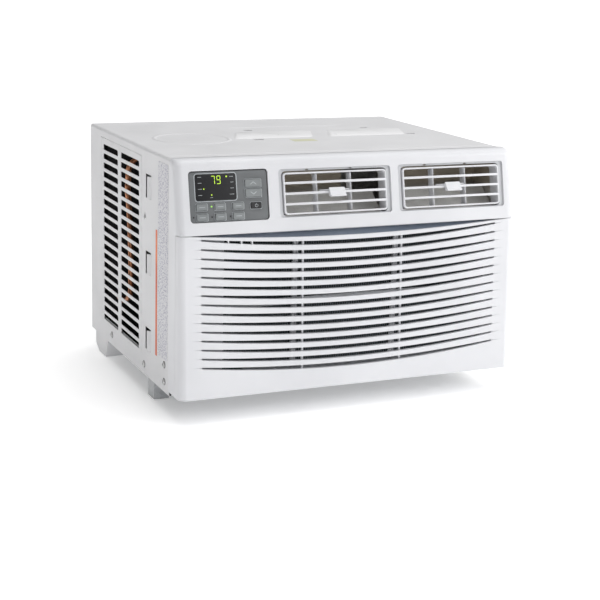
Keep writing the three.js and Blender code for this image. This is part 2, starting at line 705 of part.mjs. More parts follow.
// An end plate with copper return bends standing out of it.
function tubeSheet(x, side, y0, y1, z0, z1, bends) {
  const plate = box(x, y0, z0, x + side * 1.2, y1, z1);
  const pitch = (z1 - z0 - 16) / bends;
  const middle = (y0 + y1) / 2;
  const returns = Array.from({ length: bends }, (_, i) => {
    const z = z0 + 8 + pitch * (i + 0.5);
    const reach = pitch * 0.25;
    const points = [[x + side * 0.6, middle, z - reach]];
    for (let k = 0; k <= 4; k++) {
      const angle = Math.PI * (k / 4 - 0.5);
      points.push([x + side * (3 + reach * Math.cos(angle)), middle, z + reach * Math.sin(angle)]);
    }
    points.push([x + side * 0.6, middle, z + reach]);
    return pipe(points, 3.5, 6, 5);
  });
  return join(plate, ...returns);
}

node('evaporator_fins', 'coatedFins', finBlock(195, -12, 22, 9, 201));
node('condenser_fins', 'fins', finBlock(205, -330, -298, 1, 284).rotateZ(Math.PI));
[['left', -1], ['right', 1]].forEach(([side, sign]) => {
  node(`evaporator_bends_${side}`, 'copper', tubeSheet(sign * 195.6, sign, -13, 23, 8, 202, 5));
  node(`condenser_bends_${side}`, 'copper', tubeSheet(sign * 205.6, sign, 297, 331, 0, 285, 6));
});

function dripTray() {
  return cut(box(-205, -18, 2.9, 205, 46, 14), box(-202, -16, 4.9, 202, 43, 20));
}
node('drip_tray', 'foam', cut(dripTray(), box(-230, -30, 7.5, 230, 24, 30)));

// ---- compressor and pipework ----
const COMPRESSOR = { x: -150, y: 200, radius: 56 };
const MOUNT_ANGLES = [0.15, 0.85, 1.5].map((turn) => turn * Math.PI);
const MOUNT_RADIUS = 62;

function mountSpot(angle) {
  return [COMPRESSOR.x + MOUNT_RADIUS * Math.cos(angle), COMPRESSOR.y + MOUNT_RADIUS * Math.sin(angle)];
}

function compressor() {
  const { x, y, radius } = COMPRESSOR;
  const profile = [
    [0, 8], [radius - 14, 8], [radius, 22], [radius, 160], [radius - 8, 176], [radius - 26, 186], [0, 189],
  ];
  const lugs = MOUNT_ANGLES.map((angle) => {
    const [u, v] = mountSpot(angle);
    return join(rod('z', 11, 3, u, v, 7, 12), alongZ([[x - 12, y - 12], [x + 12, y - 12], [u, v]], 7, 10));
  });
  return join(turned(profile, x, y, 28), rod('z', 5, 8, x, y, 186, 10), ...lugs);
}
node('compressor', 'blackSteel', compressor());
MOUNT_ANGLES.forEach((angle, i) => {
  const [u, v] = mountSpot(angle);
  node(`compressor_grommet_${'abc'[i]}`, 'rubber', rod('z', 8, 10.3, u, v, -3.7, 12));
});
node('terminal_cover', 'blackPlastic', box(-166, 127, 100, -134, 143, 140));
node('accumulator', 'blackSteel', turned(
  [[0, 44], [12, 44], [17, 52], [17, 142], [12, 150], [5, 152], [5, 158], [0, 158]], -70, 216, 16,
));

node('discharge_pipe', 'copper', pipe([
  [-150, 200, 194.6], [-150, 200, 212], [-158, 204, 240], [-184, 214, 262], [-211, 225, 254], [-216, 227, 230],
  [-216, 222, 190], [-216, 216, 150], [-216, 214, 96], [-216, 218, 72], [-217, 238, 59], [-218, 262, 58],
], 4, 32));
node('suction_pipe', 'copper', pipe([
  [-70, 216, 158.4], [-70, 216, 210], [-78, 206, 236], [-120, 180, 246], [-176, 158, 232], [-190, 146, 204],
  [-190, 132, 195], [-190, 100, 195], [-192, 60, 190], [-204, 40, 165], [-208, 34, 120],
], 5, 30));
node('capillary_tube', 'copper', pipe([
  [-205, 150, 92.5], [-204, 150, 108], [-196, 140, 112], [-194, 134, 96], [-198, 132, 66], [-200, 126, 60],
  [-200, 110, 60], [-203, 60, 62], [-208, 34, 70],
], 1.6, 24, 5));
node('filter_drier', 'copper', turned(
  [[0, 30], [4, 30], [8, 38], [8, 82], [4, 92], [0, 92]], -205, 150, 12,
));

// ---- electrical parts ----
node('control_box', 'galvanised', cut(
  box(-226, -2, 213, -112, 50, 286),
  box(-224.8, -5, 214.2, -113.2, 48.8, 284.8),
));
node('run_capacitor', 'aluminium', rod('x', 18, 80, -210, 26, 248, 20));
node('cord_gland', 'rubber', turned(
  [[3.8, -3], [9, -3], [9, -GAP], [6.5, -GAP], [6.5, 6], [3.8, 6], [3.8, -3]], GLAND.x, GLAND.y, 20,
));

export default unit;
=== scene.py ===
"""Looks of the window air conditioner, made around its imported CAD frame."""
import json
import math
import bmesh
import bpy
from mathutils import Matrix, Vector


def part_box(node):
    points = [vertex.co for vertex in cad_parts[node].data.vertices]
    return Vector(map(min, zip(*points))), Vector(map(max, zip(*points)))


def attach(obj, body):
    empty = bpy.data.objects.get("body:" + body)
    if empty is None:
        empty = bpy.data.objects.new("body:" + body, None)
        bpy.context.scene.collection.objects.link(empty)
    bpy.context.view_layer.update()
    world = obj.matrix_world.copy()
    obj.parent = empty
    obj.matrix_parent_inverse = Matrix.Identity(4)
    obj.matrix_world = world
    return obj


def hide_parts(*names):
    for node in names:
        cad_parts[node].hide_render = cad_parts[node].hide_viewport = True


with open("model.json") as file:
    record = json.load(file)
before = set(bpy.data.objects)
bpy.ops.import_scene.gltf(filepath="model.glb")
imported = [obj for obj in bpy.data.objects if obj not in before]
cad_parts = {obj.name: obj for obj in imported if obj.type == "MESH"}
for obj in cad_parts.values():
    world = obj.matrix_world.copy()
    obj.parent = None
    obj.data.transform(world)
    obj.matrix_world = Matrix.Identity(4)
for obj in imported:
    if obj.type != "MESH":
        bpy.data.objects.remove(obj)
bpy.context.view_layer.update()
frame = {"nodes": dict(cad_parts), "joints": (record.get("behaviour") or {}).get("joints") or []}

# ---- Places ----
# Pieces are drawn in millimetres: y = 0 is the rear edge of the fascia node, z = 0 is its lower
# edge. On the leaning upper face, d goes inwards and s goes up the face.
MM = 0.001
FASCIA_LOW, FASCIA_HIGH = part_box("fascia")
CABINET_LOW, CABINET_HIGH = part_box("cabinet_wrapper")
GRILLE_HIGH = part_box("intake_grille")[1]
KEY_AXIS = next(j["axis"] for j in frame["joints"] if j["name"] == "button_up_press")
LEAN = math.atan2(-KEY_AXIS[2], KEY_AXIS[1])
SPLIT_Y, SPLIT_Z = -35.0, (GRILLE_HIGH.z - FASCIA_LOW.z) / MM + 0.5
LOWER_LEAN = 0.051

UNIT = Matrix.Translation((0, FASCIA_HIGH.y, FASCIA_LOW.z)) @ Matrix.Scale(MM, 4)
FACE = UNIT @ Matrix.Translation((0, SPLIT_Y, SPLIT_Z)) @ Matrix.Rotation(-LEAN, 4, "X")


# ---- Mesh tools ----
def finished(bm):
    """The mesh of a bmesh, which is freed."""
    mesh = bpy.data.meshes.new("work")
    bm.to_mesh(mesh)
    bm.free()
    return mesh


def outward(mesh, merge=0.0):
    """The mesh with its normals facing out, after merging points closer than a distance."""
    bm = bmesh.new()
    bm.from_mesh(mesh)
    if merge:
        bmesh.ops.remove_doubles(bm, verts=bm.verts, dist=merge)
    bmesh.ops.recalc_face_normals(bm, faces=bm.faces)
    return finished(bm)


def mesh_of(points, faces):
    mesh = bpy.data.meshes.new("work")
    mesh.from_pydata([tuple(p) for p in points], [], faces)
    return outward(mesh)


def evaluated(data, *modifiers):
    """The mesh of a mesh or curve after some modifiers, each a type and its settings."""
    work = bpy.data.objects.new("work", data)
    bpy.context.scene.collection.objects.link(work)
    for kind, settings in modifiers:
        modifier = work.modifiers.new(kind.lower(), kind)
        for key, value in settings.items():
            setattr(modifier, key, value)
    graph = bpy.context.evaluated_depsgraph_get()
    result = bpy.data.meshes.new_from_object(work.evaluated_get(graph))
    bpy.data.objects.remove(work)
    return result


def combined(*meshes):
    bm = bmesh.new()
    for mesh in meshes:
        bm.from_mesh(mesh)
    return finished(bm)


def boolean(base, tool, operation="DIFFERENCE"):
    other = bpy.data.objects.new("tool", tool)
    bpy.context.scene.collection.objects.link(other)
    result = evaluated(base, ("BOOLEAN", {"object": other, "operation": operation, "solver": "EXACT"}))
    bpy.data.objects.remove(other)
    return result


def softened(mesh, width, segments=2, angle=40):
    """Sharp edges rounded, flat faces kept flat in the shading."""
    for polygon in mesh.polygons:
        polygon.use_smooth = True
    bevel = {
        "width": width, "segments": segments, "limit_method": "ANGLE", "angle_limit": math.radians(angle),
        "use_clamp_overlap": True, "miter_outer": "MITER_ARC",
    }
    return evaluated(mesh, ("BEVEL", bevel), ("WEIGHTED_NORMAL", {"keep_sharp": True, "weight": 50}))


def moved(mesh, matrix):
    copy = mesh.copy()
    copy.transform(matrix)
    if matrix.determinant() < 0:
        copy.flip_normals()
    return copy


MIRROR = Matrix.Scale(-1, 4, (1, 0, 0))
# Where an outline's u, v and depth w go on the cabinet's side: u to y, v to z, w to x.
ALONG_X = Matrix(((0, 0, 1, 0), (1, 0, 0, 0), (0, 1, 0, 0), (0, 0, 0, 1)))


def skin(points, count):
    """A closed prism over two equal loops of points, one after the other."""
    faces = [tuple(range(count)), tuple(range(2 * count - 1, count - 1, -1))]
    faces += [(i, (i + 1) % count, count + (i + 1) % count, count + i) for i in range(count)]
    return mesh_of(points, faces)


def along_z(outline, z0, z1):
    """A closed prism of an outline in x, y, from z0 to z1."""
    return skin([(x, y, z) for z in (z0, z1) for x, y in outline], len(outline))


def along_y(outline, y0, y1):
    """A closed prism of an outline in x, z, from y0 to y1."""
    return skin([(x, y, z) for y in (y0, y1) for x, z in outline], len(outline))


def along_x(outline, x0, x1):
    """A closed prism of an outline in y, z, from x0 to x1."""
    return skin([(x, y, z) for x in (x0, x1) for y, z in outline], len(outline))


def loft(loops):
    """A closed skin over loops that have the same number of points."""
    count = len(loops[0])
    points = [p for loop in loops for p in loop]
    faces = [tuple(range(count - 1, -1, -1)), tuple(range(len(points) - count, len(points)))]
    for row in range(len(loops) - 1):
        a, b = row * count, (row + 1) * count
        faces += [(a + i, a + (i + 1) % count, b + (i + 1) % count, b + i) for i in range(count)]
    return mesh_of(points, faces)


def block(low, high, radius=0.0, segments=2):
    """A box between two corners, with rounded edges."""
    bm = bmesh.new()
    bmesh.ops.create_cube(bm, size=1)
    size = Vector(high) - Vector(low)
    bmesh.ops.scale(bm, vec=size, verts=bm.verts)
    bmesh.ops.translate(bm, vec=(Vector(high) + Vector(low)) / 2, verts=bm.verts)
    if radius:
        bmesh.ops.bevel(bm, geom=bm.edges[:], offset=radius, segments=segments, profile=0.5, affect="EDGES")
    return finished(bm)


def rounded(u0, v0, u1, v1, radius, steps=4):
    """A rectangle with round corners, counter-clockwise; radius is one number or one per corner."""
    radii = radius if isinstance(radius, (tuple, list)) else (radius,) * 4
    corners = [(u1, v0, -1, 1, 3), (u1, v1, -1, -1, 0), (u0, v1, 1, -1, 1), (u0, v0, 1, 1, 2)]
    points = []
    for (u, v, su, sv, quarter), r in zip(corners, radii):
        for i in range(steps + 1):
            angle = (quarter + i / steps) * math.pi / 2
            points.append((u + su * r + r * math.cos(angle), v + sv * r + r * math.sin(angle)))
    return points


def circle(u, v, radius, steps=32):
    turns = [2 * math.pi * i / steps for i in range(steps)]
    return [(u + radius * math.cos(a), v + radius * math.sin(a)) for a in turns]


MERGE = 1e-4


def plate(outline, holes, w0, w1, rim):
    """A flat plate in u, v with holes and softly rounded rims, from w0 to w1."""
    curve = bpy.data.curves.new("work", "CURVE")
    curve.dimensions = "2D"
    curve.fill_mode = "BOTH"
    curve.extrude = (w1 - w0) / 2 - rim
    curve.bevel_depth = rim
    curve.bevel_resolution = 2
    curve.offset = -rim
    for loop in (outline, *holes):
        spline = curve.splines.new("POLY")
        spline.points.add(len(loop) - 1)
        for point, (u, v) in zip(spline.points, loop):
            point.co = (u, v, 0, 1)
        spline.use_cyclic_u = True
    mesh = evaluated(curve)
    mesh.transform(Matrix.Translation((0, 0, (w0 + w1) / 2)))
    return outward(mesh, MERGE)


def face_plate(outline, holes, d0, d1, rim):
    """A plate on the leaning face, its outline in x, s, from depth d0 to d1."""
    mesh = plate(outline, holes, -d1, -d0, rim)
    mesh.transform(Matrix.Rotation(math.radians(90), 4, "X"))
    return mesh


def side_plate(outline, holes, x0, x1, rim):
    """A plate on the cabinet's side, its outline in y, z, from x0 to x1."""
    mesh = plate(outline, holes, x0, x1, rim)
    mesh.transform(ALONG_X)
    return mesh


def turned(profile, steps, centre=(0, 0, 0)):
    """A body turned about z from a profile of radius and height that starts and ends on the axis."""
    points, faces, rings = [], [], []
    for radius, height in profile:
        if radius < 1e-6:
            rings.append([len(points)])
            points.append((0, 0, height))
        else:
            rings.append(list(range(len(points), len(points) + steps)))
            points += [(x, y, height) for x, y in circle(0, 0, radius, steps)]
    for low, high in zip(rings, rings[1:]):
        for i in range(steps):
            j = (i + 1) % steps
            corners = [low[i % len(low)], low[j % len(low)], high[j % len(high)], high[i % len(high)]]
            faces.append(tuple(dict.fromkeys(corners)))
    mesh = mesh_of(points, [f for f in faces if len(f) > 2])
    mesh.transform(Matrix.Translation(centre))
    return mesh


def tube(points, radius, sides):
    """A round tube along a smooth path through the points."""
    curve = bpy.data.curves.new("work", "CURVE")
    curve.dimensions = "3D"
    curve.bevel_depth = radius
    curve.bevel_resolution = max(1, sides // 4)
    curve.use_fill_caps = True
    curve.resolution_u = 6
    spline = curve.splines.new("BEZIER")
    spline.bezier_points.add(len(points) - 1)
    for point, place in zip(spline.bezier_points, points):
        point.co = place
        point.handle_left_type = point.handle_right_type = "AUTO"
    return outward(evaluated(curve), MERGE)


def piece(name, mesh, material, body="root", place=UNIT, replaces=(), angle=35):
    """Puts a finished mesh in the scene, riding on a body."""
    mesh.transform(place)
    mesh.name = name
    mesh.materials.clear()
    mesh.materials.append(material)
    mesh.shade_smooth()
    mesh.set_sharp_from_angle(angle=math.radians(angle))
    obj = bpy.data.objects.new(name, mesh)
    bpy.context.scene.collection.objects.link(obj)
    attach(obj, body)
    if replaces:
        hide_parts(*replaces)
    return obj


# ---- Materials ----
class Shader:
    """A principled material with a few short ways to add procedural detail, in metres."""

    def __init__(self, name, color, roughness, metallic=0.0):
        self.material = bpy.data.materials.new(name)
        self.material.use_nodes = True
        self.tree = self.material.node_tree
        self.surface = self.tree.nodes["Principled BSDF"]
        self.set("Base Color", (*color, 1))
        self.set("Roughness", roughness)
        self.set("Metallic", metallic)
        self.place = self.tree.nodes.new("ShaderNodeTexCoord").outputs["Object"]
        self.bumped = None

    def set(self, socket, value):
        self.surface.inputs[socket].default_value = value

    def stretch(self, scale):
        node = self.tree.nodes.new("ShaderNodeMapping")
        node.inputs["Scale"].default_value = scale
        self.tree.links.new(self.place, node.inputs["Vector"])
        return node.outputs["Vector"]

    def noise(self, scale, detail=2.0, roughness=0.5, vector=None):
        node = self.tree.nodes.new("ShaderNodeTexNoise")
        node.inputs["Scale"].default_value = scale
        node.inputs["Detail"].default_value = detail
        node.inputs["Roughness"].default_value = roughness
        self.tree.links.new(vector or self.place, node.inputs["Vector"])
        return node.outputs["Fac"]

    def cells(self, scale, output="Distance"):
        node = self.tree.nodes.new("ShaderNodeTexVoronoi")
        node.inputs["Scale"].default_value = scale
        self.tree.links.new(self.place, node.inputs["Vector"])
        return node.outputs[output]

    def bands(self, scale, direction):
        node = self.tree.nodes.new("ShaderNodeTexWave")
        node.bands_direction = direction
        node.inputs["Scale"].default_value = scale
        node.inputs["Distortion"].default_value = 0.0
        self.tree.links.new(self.place, node.inputs["Vector"])
        return node.outputs["Fac"]

    def ramp(self, value, *stops):
        node = self.tree.nodes.new("ShaderNodeValToRGB")
        elements = node.color_ramp.elements
        while len(elements) < len(stops):
            elements.new(0.5)
        for element, (position, color) in zip(elements, stops):
            element.position = position
            element.color = (*color, 1) if isinstance(color, tuple) else (color, color, color, 1)
        self.tree.links.new(value, node.inputs["Fac"])
        return node.outputs["Color"]

    def color(self, value, *stops):
        self.tree.links.new(self.ramp(value, *stops), self.surface.inputs["Base Color"])
        return self

    def rough(self, value, low, high):
        ramp = self.ramp(value, (0.3, low), (0.7, high))
        self.tree.links.new(ramp, self.surface.inputs["Roughness"])
        return self

    def bump(self, value, strength, depth):
        node = self.tree.nodes.new("ShaderNodeBump")
        node.inputs["Strength"].default_value = strength
        node.inputs["Distance"].default_value = depth
        self.tree.links.new(value, node.inputs["Height"])
        if self.bumped:
            self.tree.links.new(self.bumped, node.inputs["Normal"])
        self.bumped = node.outputs["Normal"]
        self.tree.links.new(self.bumped, self.surface.inputs["Normal"])
        return self


def moulded(name, dark, light, roughness, grain=1800, spread=9):
    """Injection-moulded plastic: a faint tone change and a fine surface grain."""
    shader = Shader(name, light, roughness)
    shader.color(shader.noise(spread, 3), (0.35, dark), (0.65, light))
    shader.rough(shader.noise(45, 4), roughness - 0.05, roughness + 0.07)
    shader.bump(shader.noise(grain, 2), 0.05, 0.0002)
    return shader.material


def sprayed(name, dark, light, roughness):
    """Powder-coated steel: orange-peel bump and slight tone change."""
    shader = Shader(name, light, roughness)
    shader.color(shader.noise(7, 4), (0.3, dark), (0.7, light))
    shader.rough(shader.noise(30, 4), roughness - 0.06, roughness + 0.1)
    shader.bump(shader.noise(650, 2), 0.10, 0.0003)
    shader.bump(shader.noise(2600, 1), 0.05, 0.0001)
    return shader.material


def zinc(name, dark, light, roughness=0.42):
    """Galvanised sheet: a spangle of flat crystals."""
    shader = Shader(name, light, roughness, 0.9)
    spangle = shader.cells(160, "Color")
    shader.color(spangle, (0.1, dark), (0.9, light))
    shader.rough(spangle, roughness - 0.1, roughness + 0.14)
    shader.bump(shader.noise(900, 2), 0.06, 0.0002)
    return shader.material


def drawn_metal(name, dark, light, roughness, spread=35):
    """Bare tube or sheet with a little tarnish."""
    shader = Shader(name, light, roughness, 1.0)
    shader.color(shader.noise(spread, 5, 0.6), (0.35, dark), (0.62, light))
    shader.rough(shader.noise(120, 4), roughness - 0.08, roughness + 0.16)
    shader.bump(shader.noise(1500, 2), 0.06, 0.0002)
    return shader.material


FIN_BANDS = 550 * 0.16


def finned(name, dark, light, metallic):
    """Fin packs: closely set fin edges."""
    shader = Shader(name, light, 0.45, metallic)
    lines = shader.bands(FIN_BANDS, "X")
    shader.color(lines, (0.25, dark), (0.75, light))
    shader.bump(lines, 0.6, 0.0008)
    shader.bump(shader.noise(300, 3), 0.1, 0.0003)
    return shader.material


def glowing(name, color, strength):
    shader = Shader(name, color, 0.4)
    shader.set("Emission Color", (*color, 1))
    shader.set("Emission Strength", strength)
    shader.bump(shader.noise(1500, 1), 0.03, 0.0001)
    return shader.material


def net_material():
    shader = Shader("filter_net", (0.05, 0.06, 0.065), 0.7)
    warp = shader.bands(95, "X")
    weft = shader.bands(95, "Z")
    shader.color(warp, (0.35, (0.02, 0.026, 0.03)), (0.75, (0.10, 0.115, 0.125)))
    shader.bump(warp, 0.5, 0.0004)
    shader.bump(weft, 0.5, 0.0004)
    return shader.material


def foam_material(name, dark, light):
    shader = Shader(name, light, 0.85)
    cells = shader.cells(420)
    shader.color(cells, (0.0, light), (0.9, dark))
    shader.bump(cells, 0.35, 0.0006)
    return shader.material


def duct_material():
    """Foam-lined duct: pale low down, with painted shade that makes it darker and browner higher up."""
    shader = Shader("duct_painted_shade", (0.4, 0.39, 0.37), 0.85)
    split = shader.tree.nodes.new("ShaderNodeSeparateXYZ")
    shader.tree.links.new(shader.place, split.inputs["Vector"])
    rise = shader.tree.nodes.new("ShaderNodeMapRange")
    rise.inputs["From Min"].default_value, rise.inputs["From Max"].default_value = 0.264, 0.280
    shader.tree.links.new(split.outputs["Z"], rise.inputs["Value"])
    # the darker brown colour high up is painted shade inside the duct
    shader.color(rise.outputs["Result"], (0.0, (0.80, 0.79, 0.76)), (1.0, (0.52, 0.455, 0.37)))
    shader.bump(shader.cells(420), 0.35, 0.0006)
    return shader.material


def print_material(name, paper, ink):
    """A printed strip whose small marks can't be read."""
    shader = Shader(name, paper, 0.45)
    speckle = shader.noise(420, 3, 0.7, shader.stretch((1, 0.7, 1.3)))
    shader.color(speckle, (0.50, paper), (0.60, ink))
    shader.bump(shader.noise(2000, 1), 0.03, 0.0001)
    return shader.material


M = {
    "front": moulded("front_plastic", (0.715, 0.72, 0.745), (0.76, 0.765, 0.79), 0.34),
    "paint": sprayed("cabinet_paint", (0.70, 0.70, 0.712), (0.75, 0.75, 0.762), 0.44),
    # the pads: a lighter, glossier copy of the cabinet paint, a painted highlight where the flat pressings
    # catch the light
    "pad_highlight": sprayed("cabinet_paint_pads_painted_highlight", (0.83, 0.83, 0.84), (0.87, 0.87, 0.88), 0.32),
    "zinc": zinc("galvanised", (0.36, 0.37, 0.38), (0.56, 0.57, 0.58)),
    "panel": moulded("panel_grey", (0.135, 0.143, 0.149), (0.16, 0.168, 0.174), 0.5, 2600),
    "key": moulded("key_grey", (0.205, 0.22, 0.225), (0.24, 0.255, 0.26), 0.45, 2600),
    "edge": moulded("key_border", (0.42, 0.45, 0.47), (0.50, 0.53, 0.55), 0.4),
    "lens": moulded("display_lens", (0.020, 0.020, 0.022), (0.030, 0.030, 0.032), 0.12, 3000),
    "mark": moulded("printed_mark", (0.30, 0.32, 0.33), (0.38, 0.40, 0.41), 0.5),
    "slate": moulded("recess_slate", (0.165, 0.20, 0.255), (0.20, 0.235, 0.295), 0.45),
    # the outlet walls: a darker copy of the white front plastic, painted shade inside the outlet recesses
    "sleeve_shade": moulded("outlet_sleeve_painted_shade", (0.56, 0.57, 0.59), (0.64, 0.65, 0.67), 0.5),
    "filter": moulded("filter_plastic", (0.66, 0.67, 0.69), (0.76, 0.77, 0.79), 0.5),
    "black": moulded("black_plastic", (0.014, 0.014, 0.015), (0.026, 0.026, 0.028), 0.45),
    "enamel": sprayed("compressor_black", (0.010, 0.010, 0.010), (0.022, 0.022, 0.022), 0.35),
    "motor": sprayed("motor_steel", (0.26, 0.27, 0.28), (0.36, 0.37, 0.38), 0.45),
    "rubber": moulded("rubber", (0.012, 0.012, 0.012), (0.03, 0.03, 0.03), 0.8, 900),
    "copper": drawn_metal("copper", (0.34, 0.13, 0.06), (0.78, 0.37, 0.21), 0.33),
    "steel": drawn_metal("steel", (0.42, 0.42, 0.43), (0.60, 0.60, 0.61), 0.3),
    "can": drawn_metal("capacitor_aluminium", (0.55, 0.56, 0.57), (0.75, 0.76, 0.77), 0.35),
    "coated": finned("coated_fins", (0.008, 0.016, 0.02), (0.035, 0.06, 0.07), 0.5),
    "fins": finned("fin_aluminium", (0.22, 0.23, 0.24), (0.62, 0.64, 0.66), 0.9),
    "net": net_material(),
    "foam": foam_material("duct_foam", (0.50, 0.50, 0.49), (0.66, 0.66, 0.64)),
    "duct": duct_material(),
    "ramp": foam_material("duct_ramp_foam", (0.78, 0.775, 0.75), (0.84, 0.835, 0.81)),
    "board": moulded("circuit_board", (0.02, 0.10, 0.035), (0.04, 0.16, 0.06), 0.4),
    "digit": glowing("display_digit", (0.46, 0.70, 0.05), 0.55),
    "green": glowing("green_lamp", (0.30, 0.62, 0.12), 0.5),
    "orange": moulded("orange_print", (0.66, 0.10, 0.018), (0.84, 0.20, 0.035), 0.4, 1800, 22),
    "label": print_material("rating_strip", (0.71, 0.71, 0.73), (0.36, 0.35, 0.45)),
    "sticker": moulded("pale_sticker", (0.60, 0.60, 0.42), (0.70, 0.70, 0.52), 0.5),
    "screw": drawn_metal("screw_steel", (0.42, 0.42, 0.42), (0.66, 0.66, 0.66), 0.35),
}


def refinish(key, *nodes):
    """A CAD node keeps its shape, is shaded smooth except at edges sharper than 32 degrees, and gets a better
    material.
    """
    for name in nodes:
        obj = frame["nodes"][name]
        obj.data.materials.clear()
        obj.data.materials.append(M[key])
        obj.data.shade_smooth()
        obj.data.set_sharp_from_angle(angle=math.radians(32))


# ---- Cabinet ----
HALF = 233.5
SHEET = 0.8
CABINET_REAR = (CABINET_HIGH.y - FASCIA_HIGH.y) / MM
CABINET_TOP = (CABINET_HIGH.z - FASCIA_LOW.z) / MM
CABINET_BOTTOM = (CABINET_LOW.z - FASCIA_LOW.z) / MM
SLOT_COLUMNS = ((123.5, 203), (217, 285))
SLOT_ROWS, SLOT_TOP, SLOT_PITCH, SLOT_HEIGHT = 20, 272.1, 12.74, 7.9
LANCE_ROWS = ((229.6, 260.4), (131, 161), (30.3, 60))
LANCE_ROOT, LANCE_TIP, LANCE_MOUTH, LANCE_RISE = 71.6, 78.7, 96, 4
SIDE_SCREWS, DIMPLE = ((247, 8.2), (101.8, 7.1), (19.9, 29.3), (19.5, 7.1)), (98.8, 204.9)
SHEET_FRONT, LIP = 1.5, 12
TOP_SLOTS = ((-40, 232, 13), (-61, 141, 15), (139, 229, 12), (177, 156, 15))


def arch(inset, fold=4.0):
    """The cabinet's section in x, z: up one side, over the folded top edges and down the other."""
    half, top, radius = HALF - inset, CABINET_TOP - inset, max(fold - inset, 0.3)
    points = [(half, CABINET_BOTTOM)]
    for centre, quarter in ((half - radius, 0), (radius - half, 1)):
        for i in range(7):
            angle = (quarter + i / 6) * math.pi / 2
            points.append((centre + radius * math.cos(angle), top - radius + radius * math.sin(angle)))
    points.append((-half, CABINET_BOTTOM))
    return points


def folded_sheet(outer, inner, y0, y1):
    """A sheet between two arches that have the same number of points."""
    count = len(outer)
    ring = outer + inner
    points = [(x, y, z) for y in (y0, y1) for x, z in ring]
    faces = []
    for base, flip in ((0, False), (2 * count, True)):
        for i in range(count - 1):
            quad = (base + i, base + i + 1, base + count + i + 1, base + count + i)
            faces.append(quad[::-1] if flip else quad)
    border = list(range(count)) + list(range(2 * count - 1, count - 1, -1))
    for a, b in zip(border, border[1:] + border[:1]):
        faces.append((a, b, b + 2 * count, a + 2 * count))
    return mesh_of(points, faces)


def side_cutters():
    """Slots and curtain-pocket mouths of one side."""
    tools = []
    for y0, y1 in SLOT_COLUMNS:
        for row in range(SLOT_ROWS):
            top = SLOT_TOP - row * SLOT_PITCH
            outline = rounded(y0, top - SLOT_HEIGHT, y1, top, (0.8, 0.8, 3.4, 1.6), 4)
            tools.append(along_x(outline, -HALF - 3, -HALF + 3))
    for z0, z1 in LANCE_ROWS:
        tools.append(along_x(rounded(LANCE_ROOT + 2, z0, LANCE_MOUTH, z1, 0.7, 2), -HALF - 3, -HALF + 3))
    return combined(*tools)


def lance_flap(z0, z1):
    """The flap that stands out over the front part of a curtain pocket, with its curved root."""
    steps = 6
    outer, inner = [], []
    for i in range(steps + 1):
        t = i / steps
        y = LANCE_ROOT - 1 + t * (LANCE_TIP - LANCE_ROOT + 1)
        rise = (LANCE_RISE - 0.05) * (t * t * (3 - 2 * t)) - 0.4 * (1 - t)
        outer.append((-HALF - rise, y))
        inner.append((-HALF - rise + 0.9 * SHEET, y + 0.5 * SHEET))
    return softened(along_z(outer + inner[::-1], z0 + 1.0, z1 - 1.2), 0.2, 2)


def cabinet():
    """The folded sheet with its slots, pockets and holes, and the lip round its rear edge."""
    sheet = folded_sheet(arch(0), arch(SHEET), SHEET_FRONT, CABINET_REAR)
    sides = side_cutters()
    top_slots = [
        along_z(rounded(x - w / 2, y - 2.9, x + w / 2, y + 2.9, 2.6, 3), CABINET_TOP - 4, CABINET_TOP + 4)
        for x, y, w in TOP_SLOTS
    ]
    dimples = [along_x(circle(*DIMPLE, 2.9, 16), -HALF - 3, -HALF + 3)]
    dimples += [along_x(circle(y, z, 4.9, 20), -HALF - 3, -HALF + 3) for y, z in SIDE_SCREWS]
    notch = block((-HALF - 2, -1, CABINET_TOP - 3.2), (-HALF + 2.4, 3.4, CABINET_TOP + 2))
    both_sides = [sides, moved(sides, MIRROR), *top_slots, *dimples, *[moved(d, MIRROR) for d in dimples]]
    cut = boolean(sheet, combined(*both_sides, notch, moved(notch, MIRROR)))
    shell = softened(cut, 0.3, 2)
    lip = folded_sheet(arch(0.3), arch(LIP, LIP + 4), CABINET_REAR - 1.3, CABINET_REAR - 0.1)
    lip = softened(lip, 0.25, 1)
    flaps = combined(*[lance_flap(z0, z1) for z0, z1 in LANCE_ROWS])
    return combined(shell, lip, flaps, moved(flaps, MIRROR))


piece("cabinet_shell", cabinet(), M["paint"], replaces=["cabinet_wrapper"])
# A black strip behind the seam between the front and the cabinet: painted shade that darkens the gap.
seam_shade_strip = softened(folded_sheet(arch(1.1), arch(2.6), -0.6, 4.5), 0.2, 1)
piece("painted_seam_shade", seam_shade_strip, M["rubber"])


def raised(outline_of, height, base, slope, steps=4):
    """A low pressed swelling: loops of an outline that shrink as they rise, closed on top."""
    loops = []
    for i in range(steps + 1):
        t = i / steps
        rise = height * (0.5 - 0.5 * math.cos(math.pi * t))
        loops.append([(u, v, base + rise) for u, v in outline_of(slope * t)])
    foot = [(u, v, base - 0.4) for u, v in outline_of(0)]
    return loft([foot] + loops)


def ring_bead(x, y, radius, width, height, base, steps=72):
    """A round pressed bead with a soft section."""
    points, faces = [], []
    across = [-1 + 0.25 * k for k in range(9)]
    section = [(-1, -0.3), *[(u, 0.5 + 0.5 * math.cos(math.pi * u)) for u in across], (1, -0.3)]
    for i in range(steps):
        a = 2 * math.pi * i / steps
        for u, w in section:
            r = radius + u * width / 2
            points.append((x + r * math.cos(a), y + r * math.sin(a), base + w * height))
    n = len(section)
    for i in range(steps):
        for k in range(n):
            j = (i + 1) % steps
            faces.append((i * n + k, i * n + (k + 1) % n, j * n + (k + 1) % n, j * n + k))
    return mesh_of(points, faces)


def straight_bead(x0, x1, y, width, height, base):
    """A straight pressed bead that fades out at its ends."""
    def outline(inset):
        return rounded(x0 + inset * 3, y - width / 2 + inset, x1 - inset * 3, y + width / 2 - inset, 0.2, 1)
    return raised(outline, height, base, width * 0.42)


